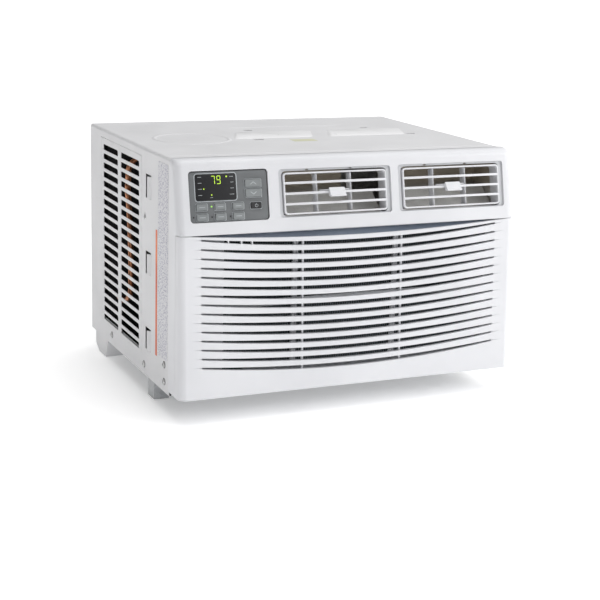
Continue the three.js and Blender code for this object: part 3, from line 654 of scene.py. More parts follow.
PAD_CORNER, PAD_RISE, PAD_SLOPE = 6, 0.9, 3.0
PADS = ([(-92, 152), (24, 152), (47, 212), (-68, 212)], [(48, 152), (166, 152), (188, 212), (72, 212)])
RING_BEAD = (-147, 166, 50, 7, 0.9)
TOP_BEADS = (
    (-229, 229, 12, 3.4, 0.55), (-229, 229, 24, 3.4, 0.55),
    (-60, 120, 262, 3.5, 0.6), (-222, 222, 338, 4, 0.5),
)


def slanted_pad(corners, height, base, slope):
    """A flat raised pad over a four-cornered outline, with sloping edges and soft corners."""
    centre = Vector((sum(x for x, y in corners) / 4, sum(y for x, y in corners) / 4))
    loops = []
    for inset, z in ((0, base), (slope * 0.35, base + height * 0.35), (slope, base + height)):
        loop = []
        for i, (x, y) in enumerate(corners):
            here = Vector((x, y))
            before, after = Vector(corners[i - 1]), Vector(corners[(i + 1) % 4])
            start = here.lerp(before, PAD_CORNER / (before - here).length)
            end = here.lerp(after, PAD_CORNER / (after - here).length)
            for k in range(5):
                t = k / 4
                point = start.lerp(here, t).lerp(here.lerp(end, t), t)
                loop.append(point + (centre - point).normalized() * inset)
        loops.append([(p.x, p.y, z) for p in loop])
    return loft(loops)


pads = [slanted_pad(corners, PAD_RISE, CABINET_TOP, PAD_SLOPE) for corners in PADS]
pressings = [ring_bead(*RING_BEAD, CABINET_TOP), *[straight_bead(*bead, CABINET_TOP) for bead in TOP_BEADS]]
piece("top_pressings", combined(*pressings), M["paint"], angle=60)
# the pads wear the lighter copy of the cabinet paint, a painted highlight
piece("top_pads", combined(*pads), M["pad_highlight"], angle=60)


FIELD_BORDER = ((112, 279.5, 296, 281.5), (294, 18, 296, 281.5), (112, 18, 114, 281.5))


def side_beads(side):
    """The faint raised border round the slotted field."""
    beads = []
    for y0, z0, y1, z1 in FIELD_BORDER:
        def outline(inset):
            return rounded(y0 + inset, z0 + inset, y1 - inset, z1 - inset, 0.2, 1)
        bead = raised(outline, 0.35, HALF, 0.9, 3)
        beads.append(moved(bead, ALONG_X @ Matrix.Scale(side, 4, (0, 0, 1))))
    return combined(*beads)


for side, sign in (("left", -1), ("right", 1)):
    piece(f"side_bead_{side}", side_beads(sign), M["paint"], angle=60)


SCREW_RADIUS, SCREW_RISE = 4.1, 1.9


def pan_head(radius, height):
    """A pan-head screw standing up z, with a cross recess."""
    dome = [(0, -1.2), (radius * 0.5, -1.2), (radius * 0.5, 0), (radius, 0), (radius, height * 0.35)]
    dome += [(radius * math.cos(a), height * (0.35 + 0.65 * math.sin(a))) for a in (0.4, 0.8, 1.2)]
    head = turned(dome + [(0, height)], 24)
    arm, thick = radius * 0.58, radius * 0.15
    cross = block((-arm, -thick, height * 0.45), (arm, thick, height + 1))
    head = boolean(head, cross)
    return boolean(head, moved(cross, Matrix.Rotation(math.radians(90), 4, "Z")))


def side_screws(sign):
    way = Matrix.Rotation(math.radians(90 * sign), 4, "Y")
    screws = []
    for i, (y, z) in enumerate(SIDE_SCREWS):
        spin = Matrix.Rotation(0.5 + i * 1.1, 4, "Z")
        place = Matrix.Translation((sign * HALF, y, z))
        screws.append(moved(pan_head(SCREW_RADIUS, SCREW_RISE), place @ way @ spin))
    return combined(*screws)


for side, sign in (("left", -1), ("right", 1)):
    piece(f"side_screws_{side}", side_screws(sign), M["screw"], angle=30)
rim_place = Matrix.Translation((-HALF, *DIMPLE)) @ Matrix.Rotation(-math.pi / 2, 4, "Y")
piece("side_dimple_rim", moved(ring_bead(0, 0, 4.2, 2.4, 0.7, 0, 24), rim_place),
      M["paint"], angle=60)

PRINTS = {"rating_strip": (rounded(7, 36, 46, 284, 2, 3), "label"),
          "orange_stripe": (rounded(48.6, 32.4, 55.2, 196, 0.8, 3), "orange")}
for name, (outline, ink) in PRINTS.items():
    piece(name, side_plate(outline, [], -HALF - 0.2, -HALF - 0.02, 0.04), M[ink])
piece("top_sticker", along_z(rounded(-20, 113, 14, 133, 0.6, 2), CABINET_TOP + 0.02, CABINET_TOP + 0.12),
      M["sticker"])

FRONT_FEET = ("front_foot_left", "front_foot_right")
REAR_PARTS = ("rear_foot_left", "rear_foot_right", "rear_guard")
refinish("zinc", "base_pan", *FRONT_FEET, "bulkhead", "motor_bracket", "control_box")
refinish("paint", *REAR_PARTS)
FOLD_RADIUS = 0.5
for name in (*FRONT_FEET, *REAR_PARTS):
    bevel = frame["nodes"][name].modifiers.new("edges", "BEVEL")
    bevel.width, bevel.segments, bevel.limit_method = FOLD_RADIUS * MM, 2, "ANGLE"

# ---- Fascia ----
FRONT_HALF, FRONT_TOP = 235.0, (FASCIA_HIGH.z - FASCIA_LOW.z) / MM
FRONT_CORNER, CORNER_STEPS = 10.0, 10
WALL, SEAM, GRILLE_REAR = 2.5, -24.4, -24.7
BROW_Z, BROW_RUN, BROW_SIDE, BROW_STEPS = 283.0, 10.0, 3.0, 9
OUTLETS = {"left": (-100.9, 54.3), "right": (64.9, 221.0)}
OUTLET_LOW, OUTLET_HIGH = 16.5, 76.1
PANEL = (-217.9, 15.7, -115.6, 77.4)


def front_loop(z, front, half, rear, radius):
    loop = [(half, rear, z), (-half, rear, z)]
    for centre, quarter in ((radius - half, 2), (half - radius, 3)):
        for i in range(CORNER_STEPS + 1):
            angle = (quarter + i / CORNER_STEPS) * math.pi / 2
            loop.append((centre + radius * math.cos(angle), front + radius + radius * math.sin(angle), z))
    return loop


def front_body(inset, rear):
    """The whole front as a solid, or its hollow when inset by the wall."""
    half, radius = FRONT_HALF - inset, FRONT_CORNER - inset
    bottom_front = SPLIT_Y - LOWER_LEAN * SPLIT_Z
    slope = math.tan(LEAN)
    brow_front = SPLIT_Y + slope * (BROW_Z - SPLIT_Z)
    loops = [
        front_loop(inset, bottom_front + inset + LOWER_LEAN * inset, half, rear, radius),
        front_loop(SPLIT_Z, SPLIT_Y + inset, half, rear, radius),
    ]
    for i in range(BROW_STEPS + 1):
        angle = i / BROW_STEPS * math.pi / 2
        rise = (FRONT_TOP - BROW_Z - inset) * math.sin(angle)
        back = 1 - math.cos(angle)
        loops.append(front_loop(
            BROW_Z + rise, brow_front + inset + BROW_RUN * back, half - BROW_SIDE * back, rear, radius))
    return loft(loops)


def face_cutter(x0, s0, x1, s1, radius, d0=-6, d1=9):
    mesh = along_y(rounded(x0, s0, x1, s1, radius, 5), d0, d1)
    mesh.transform(UNIT.inverted() @ FACE)
    return mesh


def fascia():
    body = boolean(front_body(0, 0), front_body(WALL, 6))
    body = boolean(body, block((-300, -80, -10), (300, SEAM, SPLIT_Z + 0.1)))
    x0, s0, x1, s1 = PANEL
    holes = [face_cutter(x0 - 0.4, s0 - 0.4, x1 + 0.4, s1 + 0.4, 4.5)]
    holes += [face_cutter(a, OUTLET_LOW, b, OUTLET_HIGH, 4.0) for a, b in OUTLETS.values()]
    body = boolean(body, combined(*holes))
    return softened(body, 0.55, 2, 50)


piece("front_moulding", fascia(), M["front"], replaces=["fascia"], angle=50)
FRAME_OUT, FRAME_IN, FRAME_TOP, STRIP_BACK = 230.5, 211, 212, -26.4
frame_strips = [
    ((-FRAME_OUT, SEAM + 0.05, 1), (-FRAME_IN, SEAM + WALL, FRAME_TOP)),
    ((FRAME_IN, SEAM + 0.05, 1), (FRAME_OUT, SEAM + WALL, FRAME_TOP)),
    ((-FRAME_IN - 0.2, SEAM + 0.05, 1), (FRAME_IN + 0.2, SEAM + WALL, 14)),
    ((-232, SPLIT_Y + 1.2, SPLIT_Z + 0.15), (232, STRIP_BACK, SPLIT_Z + 2.4)),
]
inner_frame = combined(*[block(*ends, 0.3) for ends in frame_strips])
piece("fascia_inner_frame", inner_frame, M["front"])
sleeves = []
for x0, x1 in OUTLETS.values():
    middle = (x0 + x1) / 2
    outer = rounded(x0 - 0.25, OUTLET_LOW - 0.9, x1 + 0.25, OUTLET_HIGH + 0.4, 4.3, 5)
    inner = rounded(x0 + 0.15, OUTLET_LOW, x1 - 0.15, OUTLET_HIGH - 0.05, 4.0, 5)
    ledge = rounded(middle - 72.6, 17.9, middle + 72.6, 73.6, 5.0, 5)
    notches = [rounded(middle + u - 2.2, 73.9, middle + u + 2.2, 75.4, 0.5, 2) for u in (-38, 22)]
    sleeves.append(face_plate(outer, [ledge, *notches], 2.7, 4.6, 0.15))
    sleeves.append(face_plate(outer, [inner], 4.5, 22, 0.1))
# the sleeves wear the darker grey, painted shade of the outlet recess walls
piece("outlet_sleeves", combined(*sleeves), M["sleeve_shade"], place=FACE)

# ---- Intake grille and filter ----
SLOTS, SLOT_END, FIRST_SLOT, GRILLE_PITCH = 15, 206.3, 197.9, 11.31
SLOT_SAG, SLOT_ENDS, SLOT_MIDDLE = 12.0, 2.4, 5.6
RIBS, RIB_WIDTH, RIB_SET_BACK, RIB_DEPTH, RIB_FOOT = (-69.5, 69.5), 2.4, 4.4, 3.2, 22
SLAT_DEPTH, TINY_RIBS, TINY_HALF = 5.0, (-170.7, -153.5, -139.5), 0.6
DISH_HALF, DISH_SAG, DISH_STEPS, RECESS_FLOOR = 224.0, 9.0, 24, -27.5
GRILLE_TOP = SPLIT_Z - 0.5


def sagged(x, half, sag):
    return sag * (1 - (x / half) ** 2)


def slot_middle(x, row):
    return FIRST_SLOT - row * GRILLE_PITCH - sagged(x, SLOT_END, SLOT_SAG)


def slot_outline(x0, x1, row, steps):
    upper, lower = [], []
    for i in range(steps + 1):
        x = x0 + (x1 - x0) * i / steps
        opening = SLOT_ENDS + sagged(x, SLOT_END, SLOT_MIDDLE - SLOT_ENDS)
        lower.append((x, slot_middle(x, row) - opening / 2))
        upper.insert(0, (x, slot_middle(x, row) + opening / 2))
    return lower + upper


def set_back(z, depth):
    """y of a point behind the leaning front of the grille."""
    return SPLIT_Y - LOWER_LEAN * (SPLIT_Z - z) + depth


def fading_groove(row, sign):
    """A shallow groove that carries a slot's line on and fades out."""
    start, end = SLOT_END - 0.5, SLOT_END + 12
    loops = []
    for x, half, depth in ((start, 0.75, 1.0), ((start + end) / 2, 0.5, 0.55), (end, 0.15, 0.05)):
        z = slot_middle(min(x, SLOT_END), row) + (x - SLOT_END) * 0.1
        front = set_back(z, 0)
        loops.append([(sign * x, front - 3, z - half), (sign * x, front - 3, z + half),
                      (sign * x, front + depth, z + half * 0.6), (sign * x, front + depth, z - half * 0.6)])
    return loft(loops)


def dish(above):
    """The dished upper edge of the grille, closed along a line above it."""
    xs = [DISH_HALF * (2 * i / DISH_STEPS - 1) for i in range(DISH_STEPS + 1)]
    points = [(x, GRILLE_TOP - sagged(x, DISH_HALF, DISH_SAG)) for x in xs]
    return points + [(DISH_HALF, above), (-DISH_HALF, above)]


def grille():
    body = boolean(front_body(0, 0), front_body(SLAT_DEPTH, 6))
    rear = [(-80, -1), (GRILLE_REAR - 0.1, -1), (GRILLE_REAR - 0.7, GRILLE_TOP), (-80, GRILLE_TOP)]
    body = boolean(body, along_x(rear, -300, 300), "INTERSECT")
    body = boolean(body, along_y(dish(GRILLE_TOP + 10), -60, RECESS_FLOOR))
    slots, grooves = [], []
    for row in range(SLOTS):
        edges = [-SLOT_END, *(TINY_RIBS if row == 0 else ()), SLOT_END]
        for x0, x1 in zip(edges, edges[1:]):
            left = x0 + (TINY_HALF if x0 in TINY_RIBS else 0)
            right = x1 - (TINY_HALF if x1 in TINY_RIBS else 0)
            slots.append(along_y(slot_outline(left, right, row, 36 if right > 0 else 4), -60, -26))
        grooves += [fading_groove(row, -1), fading_groove(row, 1)]
    body = boolean(body, combined(*slots))
    body = boolean(body, combined(*grooves))
    body = softened(body, 1.7, 3, 45)
    low, high = RIB_FOOT, FIRST_SLOT - 1
    foot, head = set_back(low, RIB_SET_BACK), set_back(high, RIB_SET_BACK)
    side = [(foot, low), (foot + RIB_DEPTH, low), (head + RIB_DEPTH, high), (head, high)]
    ribs = [softened(along_x(side, x - RIB_WIDTH / 2, x + RIB_WIDTH / 2), 0.4, 2) for x in RIBS]
    return combined(body, *ribs)


piece("grille_moulding", grille(), M["front"], body="grille",
      replaces=["intake_grille"], angle=50)


def recess_floor():
    """The sloping floor of the finger recess, from the dished edge up and back under the fascia."""
    loops = []
    for i in range(DISH_STEPS + 1):
        x = DISH_HALF * (2 * i / DISH_STEPS - 1) * 0.995
        low = GRILLE_TOP - sagged(x, DISH_HALF, DISH_SAG) - 0.6
        front = set_back(low, 0)
        loops.append([(x, front + 1.6, low - 0.6), (x, -26.0, GRILLE_TOP - 1.2), (x, -25.2, GRILLE_TOP - 1.2),
                      (x, -25.2, low - 1.4), (x, front + 2.6, low - 1.6)])
    return loft(loops)


piece("finger_recess_floor", recess_floor(), M["slate"], body="grille", angle=60)
FILTER_LOW, FILTER_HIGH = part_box("filter_frame")
FILTER_RIBS, FILTER_BAR = ((-81, -74), (60, 67)), (107.5, 114.5)
FILTER_STRIP, FILTER_BORDER, FILTER_SILL = 32, 6, 12


def filter_frame():
    """The flat frame with a wide left strip, two beaded ribs and a bar across."""
    half = FILTER_HIGH.x / MM
    low, high = (FILTER_LOW.z - FASCIA_LOW.z) / MM, (FILTER_HIGH.z - FASCIA_LOW.z) / MM
    front, back = (FILTER_LOW.y - FASCIA_HIGH.y) / MM, (FILTER_HIGH.y - FASCIA_HIGH.y) / MM
    holes = []
    (a, b), (c, d) = FILTER_RIBS
    for x0, x1 in ((FILTER_STRIP - half, a), (b, c), (d, half - FILTER_BORDER)):
        for z0, z1 in ((low + FILTER_SILL, FILTER_BAR[0]), (FILTER_BAR[1], high - FILTER_BORDER)):
            holes.append(rounded(x0, z0, x1, z1, 2, 3))
    mesh = plate(rounded(-half, low, half, high, 3, 4), holes, -back, -front, 0.5)
    mesh.transform(Matrix.Rotation(math.radians(90), 4, "X"))
    beads = [block((x0 + 0.3, front - 0.9, low + 2), (x0 + 2.6, front + 0.5, high - 2), 0.4)
             for rib in FILTER_RIBS for x0 in (rib[0], rib[1] - 2.9)]
    low_bar, high_bar = FILTER_BAR[0] + 1.8, FILTER_BAR[1] + 2.4
    bar = block((2 - half, front - 1.6, low_bar), (half - 2, front + 0.5, high_bar), 0.6)
    return combined(mesh, *beads, bar)


piece("filter_frame_moulding", filter_frame(), M["filter"], body="air_filter",
      replaces=["filter_frame"])
refinish("net", "filter_mesh")

# ---- Control panel, display and keys ----
WINDOW = (-209.9, 41.5, -156.9, 74.0)
KEYS = {
    "button_up": (-146, 55.8, -124.2, 65.8), "button_down": (-146, 43.6, -124.2, 54.0),
    "button_power": (-139.5, 29.5, -124.9, 37.6),
    "button_mode": (-210.4, 29.8, -195.5, 38.3), "button_fan_speed": (-186.5, 29.8, -172.2, 38.3),
    "button_energy_saver": (-163.5, 29.8, -148.3, 38.3),
    "button_timer": (-210.4, 17.3, -195.5, 26.2), "button_sleep": (-186.5, 17.3, -172.2, 26.2),
    "button_filter_reset": (-163.5, 17.3, -148.3, 26.2),
}
PANEL_FRONT, PANEL_BACK = 1.3, 3.3
WINDOW_RADIUS, KEY_RADIUS, KEY_GAP = 3.0, 1.2, 0.4
holes = [rounded(*WINDOW, WINDOW_RADIUS, 5)] + [rounded(*key, KEY_RADIUS, 3) for key in KEYS.values()]
u0, v0, u1, v1 = PANEL
plate_edge = rounded(u0 + 0.1, v0 + 0.1, u1 - 0.7, v1 - 0.6, 4, 6)
piece("control_panel_plate", face_plate(plate_edge, holes, PANEL_FRONT, PANEL_BACK, 0.3),
      M["panel"], place=FACE, replaces=["control_panel"])


def border(area, radius, width, front):
    """A thin light line moulded round a key or the window."""
    u0, v0, u1, v1 = area
    outer = rounded(u0 - width, v0 - width, u1 + width, v1 + width, radius + width, 5)
    return face_plate(outer, [rounded(*area, radius, 5)], PANEL_FRONT - front, PANEL_FRONT + 0.1, 0.05)


borders = [border(WINDOW, WINDOW_RADIUS, 1.1, 0.25)]
borders += [border(key, KEY_RADIUS, 0.55, 0.15) for key in KEYS.values()]
piece("key_borders", combined(*borders), M["edge"], place=FACE)
u0, v0, u1, v1 = WINDOW
lens = rounded(u0 + 0.3, v0 + 0.3, u1 - 0.3, v1 - 0.3, 2.8, 5)
piece("display_lens", face_plate(lens, [], 0.6, PANEL_BACK, 0.25),
      M["lens"], place=FACE, replaces=["display_window"])

LIT_FRONT, LIT_BACK = 0.46, 0.62       # the lit display stands just in front of the lens
SEGMENTS = {"a": "7 9", "b": "7 9", "c": "7 9", "d": "9", "f": "9", "g": "9"}


def digit(character, x, s, width=5.0, height=10.2, stroke=0.85):
    """A seven-segment figure with its lower left corner at x, s."""
    mid = s + height / 2
    bars = {
        "a": (x + 0.5, s + height - stroke, x + width - 0.5, s + height),
        "g": (x + 0.5, mid - stroke / 2, x + width - 0.5, mid + stroke / 2),
        "d": (x + 0.5, s, x + width - 0.5, s + stroke),
        "b": (x + width - stroke, mid + 0.4, x + width, s + height - 0.4),
        "c": (x + width - stroke, s + 0.4, x + width, mid - 0.4),
        "f": (x, mid + 0.4, x + stroke, s + height - 0.4),
    }
    lit = [bars[name] for name, where in SEGMENTS.items() if character in where]
    return combined(*[face_plate(rounded(*bar, 0.45, 3), [], LIT_FRONT, LIT_BACK, 0.03) for bar in lit])


def dot(x, s, radius, d0=LIT_FRONT, d1=LIT_BACK):
    return face_plate(circle(x, s, radius, 20), [], d0, d1, 0.03)


digits = [digit("7", -189.2, 61.4), digit("9", -182.0, 61.4)]
digits += [dot(-169.3, 70.3, 1.0), dot(-199.0, 56.0, 0.8), dot(-189.4, 48.6, 0.8)]
piece("display_digits", combined(*digits), M["digit"], place=FACE)
DIM_MARKS = (
    (-206.5, 70.4, 5.0), (-206.5, 63.2, 5.0), (-165.5, 70.0, 5.0), (-164.5, 63.2, 4.2), (-206.5, 56.0, 5.2),
    (-206.5, 48.6, 5.0), (-191.2, 45.4, 3.4), (-166.0, 48.6, 6.0), (-165.0, 56.0, 5.0),
)
marks = [rounded(x, s - 0.35, x + width, s + 0.35, 0.3, 2) for x, s, width in DIM_MARKS]
piece("display_marks", combined(*[face_plate(mark, [], 0.5, LIT_BACK, 0.03) for mark in marks]),
      M["mark"], place=FACE)


KEY_FACE = -0.6


def stroke(points, width):
    """A line printed on a key through points, as thin rounded bars."""
    bars = []
    for (ax, az), (bx, bz) in zip(points, points[1:]):
        reach, angle = (math.hypot(bx - ax, bz - az) + width) / 2, math.atan2(bz - az, bx - ax)
        c, s = math.cos(angle), math.sin(angle)
        mx, mz = (ax + bx) / 2, (az + bz) / 2
        outline = [(mx + u * c - v * s, mz + u * s + v * c)
                   for u, v in rounded(-reach, -width / 2, reach, width / 2, width * 0.45, 3)]
        bars.append(face_plate(outline, [], KEY_FACE - 0.05, KEY_FACE + 0.05, 0.02))
    return combined(*bars)


def key_mark(name, x, z):
    """The plain sign in the middle of a key: an arrow up or down, a power ring or a dash."""
    if name in ("button_up", "button_down"):
        way = 1 if name == "button_up" else -1
        return stroke([(x - 3.6, z - way * 1.3), (x, z + way * 1.5), (x + 3.6, z - way * 1.3)], 0.8)
    if name == "button_power":
        turns = [2.2 + 0.4 * k for k in range(13)]
        ring = [(x + 1.9 * math.cos(turn), z - 0.2 + 1.9 * math.sin(turn)) for turn in turns]
        return combined(stroke(ring, 0.5), stroke([(x, z + 0.3), (x, z + 2.2)], 0.5))
    return stroke([(x - 3.4, z), (x + 3.4, z)], 0.7)


for name, (u0, v0, u1, v1) in KEYS.items():
    top = rounded(u0 + KEY_GAP, v0 + KEY_GAP, u1 - KEY_GAP, v1 - KEY_GAP, 1.0, 3)
    cap = softened(along_y(top, KEY_FACE, PANEL_BACK + 0.6), 0.4, 3)
    flange = block((u0 - KEY_GAP, PANEL_BACK + 0.4, v0 - KEY_GAP),
                   (u1 + KEY_GAP, PANEL_BACK + 1.25, v1 + KEY_GAP), 0.15)
    finish, slot = ("black", "black_plastic") if name == "button_power" else ("key", "panel_grey")
    piece(f"{name}_cap", combined(cap, flange), M[finish], body=name, place=FACE, replaces=[name])
    piece(f"{name}_mark", key_mark(name, (u0 + u1) / 2, (v0 + v1) / 2), M["edge"],
          body=name, place=FACE)

LAMP_FRONT, LAMP_BACK = 0.62, 0.85
lit_lamp = dot(-190.3, 34.6, 1.1, LAMP_FRONT, LAMP_BACK)
piece("lit_lamp", lit_lamp, M["green"], place=FACE)
lamps = [dot(x, s, 1.0, LAMP_FRONT, LAMP_BACK) for x, s in ((-214.0, 22.4), (-190.3, 22.0), (-166.4, 21.8))]
piece("dark_lamps", combined(*lamps), M["black"], place=FACE)
refinish("board", "control_board")

# ---- Louvers ----
LOUVER_HALF_X, LOUVER_HALF_S, LOUVER_DEPTH, LOUVER_WALL, LOUVER_S = 71.3, 26.0, 20.0, 2.0, 45.7
BAR_OFFSETS, BAR_HEIGHT, BAR_DEPTH = (-13, 0, 13), 3.0, 4.2
VANE_OFFSET, VANE_FRONT, VANE_BACK, VANE_THICK = 23.7, 6.6, 19.0, 2.5
PIN_RADIUS, PIN_REACH, PIVOT_DEPTH = 2.0, 80.0, 10.0


def louver_frame(x):
    """The frame that tilts, with its three bars and its two pivot pins."""
    x0, x1, wall = x - LOUVER_HALF_X, x + LOUVER_HALF_X, LOUVER_WALL
    low, high = LOUVER_S - LOUVER_HALF_S, LOUVER_S + LOUVER_HALF_S
    inner = rounded(x0 + wall, low + wall, x1 - wall, high - wall, 2.8, 6)
    ring = face_plate(rounded(x0, low, x1, high, 4.5, 6), [inner], 0, LOUVER_DEPTH, 0.6)
    bars = []
    for offset in BAR_OFFSETS:
        mid = LOUVER_S + offset
        bars.append(block((x0 + 1, 0.05, mid - BAR_HEIGHT / 2),
                          (x1 - 1, BAR_DEPTH, mid + BAR_HEIGHT / 2), 0.7, 3))
    pins = []
    for sign in (-1, 1):
        start = x + sign * (LOUVER_HALF_X - 1)
        length = PIN_REACH - LOUVER_HALF_X + 1
        profile = [(0, 0), (PIN_RADIUS, 0), (PIN_RADIUS, length - 0.4)]
        profile += [(PIN_RADIUS - 0.4, length), (0, length)]
        pin = moved(turned(profile, 20), Matrix.Rotation(math.radians(90), 4, "Y"))
        if sign < 0:
            pin = moved(pin, MIRROR)
        pins.append(moved(pin, Matrix.Translation((start, PIVOT_DEPTH, LOUVER_S))))
    return combined(ring, *bars, *pins)


def vane(x):
    """An upright vane with a round front edge and a thin rear one."""
    reach = LOUVER_HALF_S - LOUVER_WALL - 0.6
    half = VANE_THICK / 2
    turns = [math.pi / 2 - math.pi * k / 8 for k in range(9)]
    profile = [(x - half * math.sin(turn), VANE_FRONT + half - half * math.cos(turn)) for turn in turns]
    profile += [(x - half * 0.9, VANE_FRONT + 4), (x - 0.5, VANE_BACK)]
    profile += [(x + 0.5, VANE_BACK), (x + half * 0.9, VANE_FRONT + 4)]
    return softened(along_z(profile, LOUVER_S - reach, LOUVER_S + reach), 0.3, 2)


SADDLE = (
    (-7.0, -6.2), (-8.0, -5.6), (-8.0, -4.4), (-6.4, -3.2), (-4.6, -0.5), (-3.2, 2.6), (-2.0, 5.4),
    (-1.0, 5.6), (-0.6, 4.8), (-0.6, -4.6), (-2.0, -5.4),
)
SADDLE_HALF, SPINE_HALF, LINK_THICK, LINK_GAP = 10.8, 7, 1.5, 1.4


def thumb_tab(x):
    """A saddle-shaped paddle with a lip, on a thin plate whose two arms reach the vanes."""
    clear = BAR_HEIGHT / 2 + 0.5
    link = VANE_OFFSET - VANE_THICK / 2 - LINK_GAP
    section = [(d, LOUVER_S + s) for d, s in SADDLE]
    paddle = softened(along_x(section, x - SADDLE_HALF, x + SADDLE_HALF), 0.9, 3)
    low, high = LOUVER_S + clear, LOUVER_S + clear + LINK_THICK
    wing = [(-9, -1), (9, -1), (link, 5.2), (link, 7.4), (-link, 7.4), (-link, 5.2)]
    window = [(-3.5, 1.6), (3.5, 1.6), (12.5, 5.6), (-12.5, 5.6)]
    arms = boolean(along_z([(x + u, d) for u, d in wing], low, high),
                   along_z([(x + u, d) for u, d in window], low - 1, high + 1))
    bottom = LOUVER_S - clear - LINK_THICK
    foot = block((x - SPINE_HALF, -1, bottom), (x + SPINE_HALF, 7.0, LOUVER_S - clear), 0.3)
    spine = block((x - SPINE_HALF, BAR_DEPTH + 0.5, bottom), (x + SPINE_HALF, BAR_DEPTH + 2.4, high), 0.3)
    return combined(paddle, softened(arms, 0.4, 2), foot, spine)


for side, (x0, x1) in OUTLETS.items():
    middle = (x0 + x1) / 2
    piece(f"louver_grid_{side}", louver_frame(middle), M["front"], body=f"louver_{side}",
          place=FACE, replaces=[f"louver_frame_{side}"])
    piece(f"thumb_paddle_{side}", thumb_tab(middle), M["front"], body=f"thumb_tab_{side}",
          place=FACE, replaces=[f"louver_tab_{side}"])
    for letter, sign in (("a", -1), ("b", 1)):
        piece(f"vane_blade_{side}_{letter}", vane(middle + sign * VANE_OFFSET), M["front"],
              body=f"vane_{side}_{letter}", place=FACE, replaces=[f"vane_{side}_outlet_{letter}"])

# ---- Works ----
refinish("duct", "discharge_duct")


RAMP_FRONT, RAMP_FOOT, RAMP_RUN, RAMP_RISE, RAMP_CURVE, RAMP_STEPS = 23.5, 17.0, 30, 31, 1.4, 8


def duct_ramp(x0, x1):
    """The duct's floor, which curves up and back behind a louver."""
    ways = [i / RAMP_STEPS for i in range(RAMP_STEPS + 1)]
    upper = [(RAMP_FRONT + RAMP_RUN * t, RAMP_FOOT + RAMP_RISE * t ** RAMP_CURVE) for t in ways]
    lower = [(d + 0.3, s - 1.4) for d, s in reversed(upper)]
    return softened(along_x(upper + lower, x0, x1), 0.3, 1)


ramps = [duct_ramp(x0 + 1.5, x1 - 1.5) for x0, x1 in OUTLETS.values()]
piece("duct_ramps", combined(*ramps), M["ramp"], place=FACE)
refinish("foam", "blower_scroll", "drip_tray")
refinish("black", "blower_wheel", "condenser_fan", "condenser_shroud", "terminal_cover")
refinish("steel", "motor_shaft")
refinish("motor", "fan_motor")


FIN_PITCH, FIN_THICK = 2.2, 0.35


def fin_pack(node):
    """Thin upright plates, where the CAD's finned block stands."""
    low, high = (UNIT.inverted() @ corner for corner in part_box(node))
    count = int((high.x - low.x) / FIN_PITCH)
    bm = bmesh.new()
    for i in range(count + 1):
        x = low.x + FIN_THICK / 2 + (high.x - low.x - FIN_THICK) * i / count
        fin = bmesh.ops.create_cube(bm, size=1)["verts"]
        bmesh.ops.scale(bm, vec=(FIN_THICK, high.y - low.y, high.z - low.z), verts=fin)
        bmesh.ops.translate(bm, vec=(x, (low.y + high.y) / 2, (low.z + high.z) / 2), verts=fin)
    return finished(bm)


piece("condenser_fin_plates", fin_pack("condenser_fins"), M["fins"],
      replaces=["condenser_fins"])
piece("evaporator_fin_plates", fin_pack("evaporator_fins"), M["coated"],
      replaces=["evaporator_fins"])
refinish("can", "run_capacitor")
refinish("rubber", "cord_gland", *[f"compressor_grommet_{letter}" for letter in "abc"])
refinish("copper", "filter_drier", "capillary_tube")
refinish("enamel", "accumulator")


BEND_RADIUS, BEND_STAND, END_PLATE, END_MARGIN = 3.4, 3, 1.2, 8


def coil_end(node, bends):
    """An end plate with smooth return bends, standing where the CAD node stands."""
    low, high = (UNIT.inverted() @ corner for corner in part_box(node))
    sign = 1 if high.x > 0 else -1
    x = low.x if sign > 0 else high.x
    edges = sorted((x, x + sign * END_PLATE))
    end_plate = block((edges[0], low.y, low.z), (edges[1], high.y, high.z), 0.2)
    pitch = (high.z - low.z - 2 * END_MARGIN) / bends
    reach, middle = pitch * 0.25, (low.y + high.y) / 2
    tubes = []
    for i in range(bends):
        z = low.z + END_MARGIN + pitch * (i + 0.5)
        points = [(x + sign * 0.6, middle, z - reach)]
        for k in range(9):
            angle = math.pi * (k / 8 - 0.5)
            across = x + sign * (BEND_STAND + reach * math.cos(angle))
            points.append((across, middle, z + reach * math.sin(angle)))
        points.append((x + sign * 0.6, middle, z + reach))
        tubes.append(tube(points, BEND_RADIUS, 12))
    return combined(end_plate, *tubes)


for side in ("left", "right"):
    for coil, bends in (("evaporator", 5), ("condenser", 6)):
        node = f"{coil}_bends_{side}"
        piece(f"{coil}_returns_{side}", coil_end(node, bends), M["copper"], replaces=[node])

DISCHARGE = [
    (-150, 200, 194.6), (-150, 200, 212), (-158, 204, 240), (-184, 214, 262), (-211, 225, 254),
    (-216, 227, 230), (-216, 222, 190), (-216, 216, 150), (-216, 214, 96), (-216, 218, 72),
    (-217, 238, 59), (-218, 262, 58),
]
SUCTION = [
    (-70, 216, 158.4), (-70, 216, 210), (-78, 206, 236), (-120, 180, 246), (-176, 158, 232),
    (-190, 146, 204), (-190, 132, 195), (-190, 100, 195), (-192, 60, 190), (-204, 40, 165), (-208, 34, 120),
]
piece("discharge_tube", tube(DISCHARGE, 4, 16), M["copper"], replaces=["discharge_pipe"])
piece("suction_tube", tube(SUCTION, 5, 16), M["copper"], replaces=["suction_pipe"])


COMPRESSOR_AXIS, COMPRESSOR_RADIUS, SHOULDER_Z, DOME_RISE = (-150, 200), 56, 160, 27
LUG_TURNS, LUG_REACH, LUG_RADIUS = (0.15, 0.85, 1.5), 62, 11


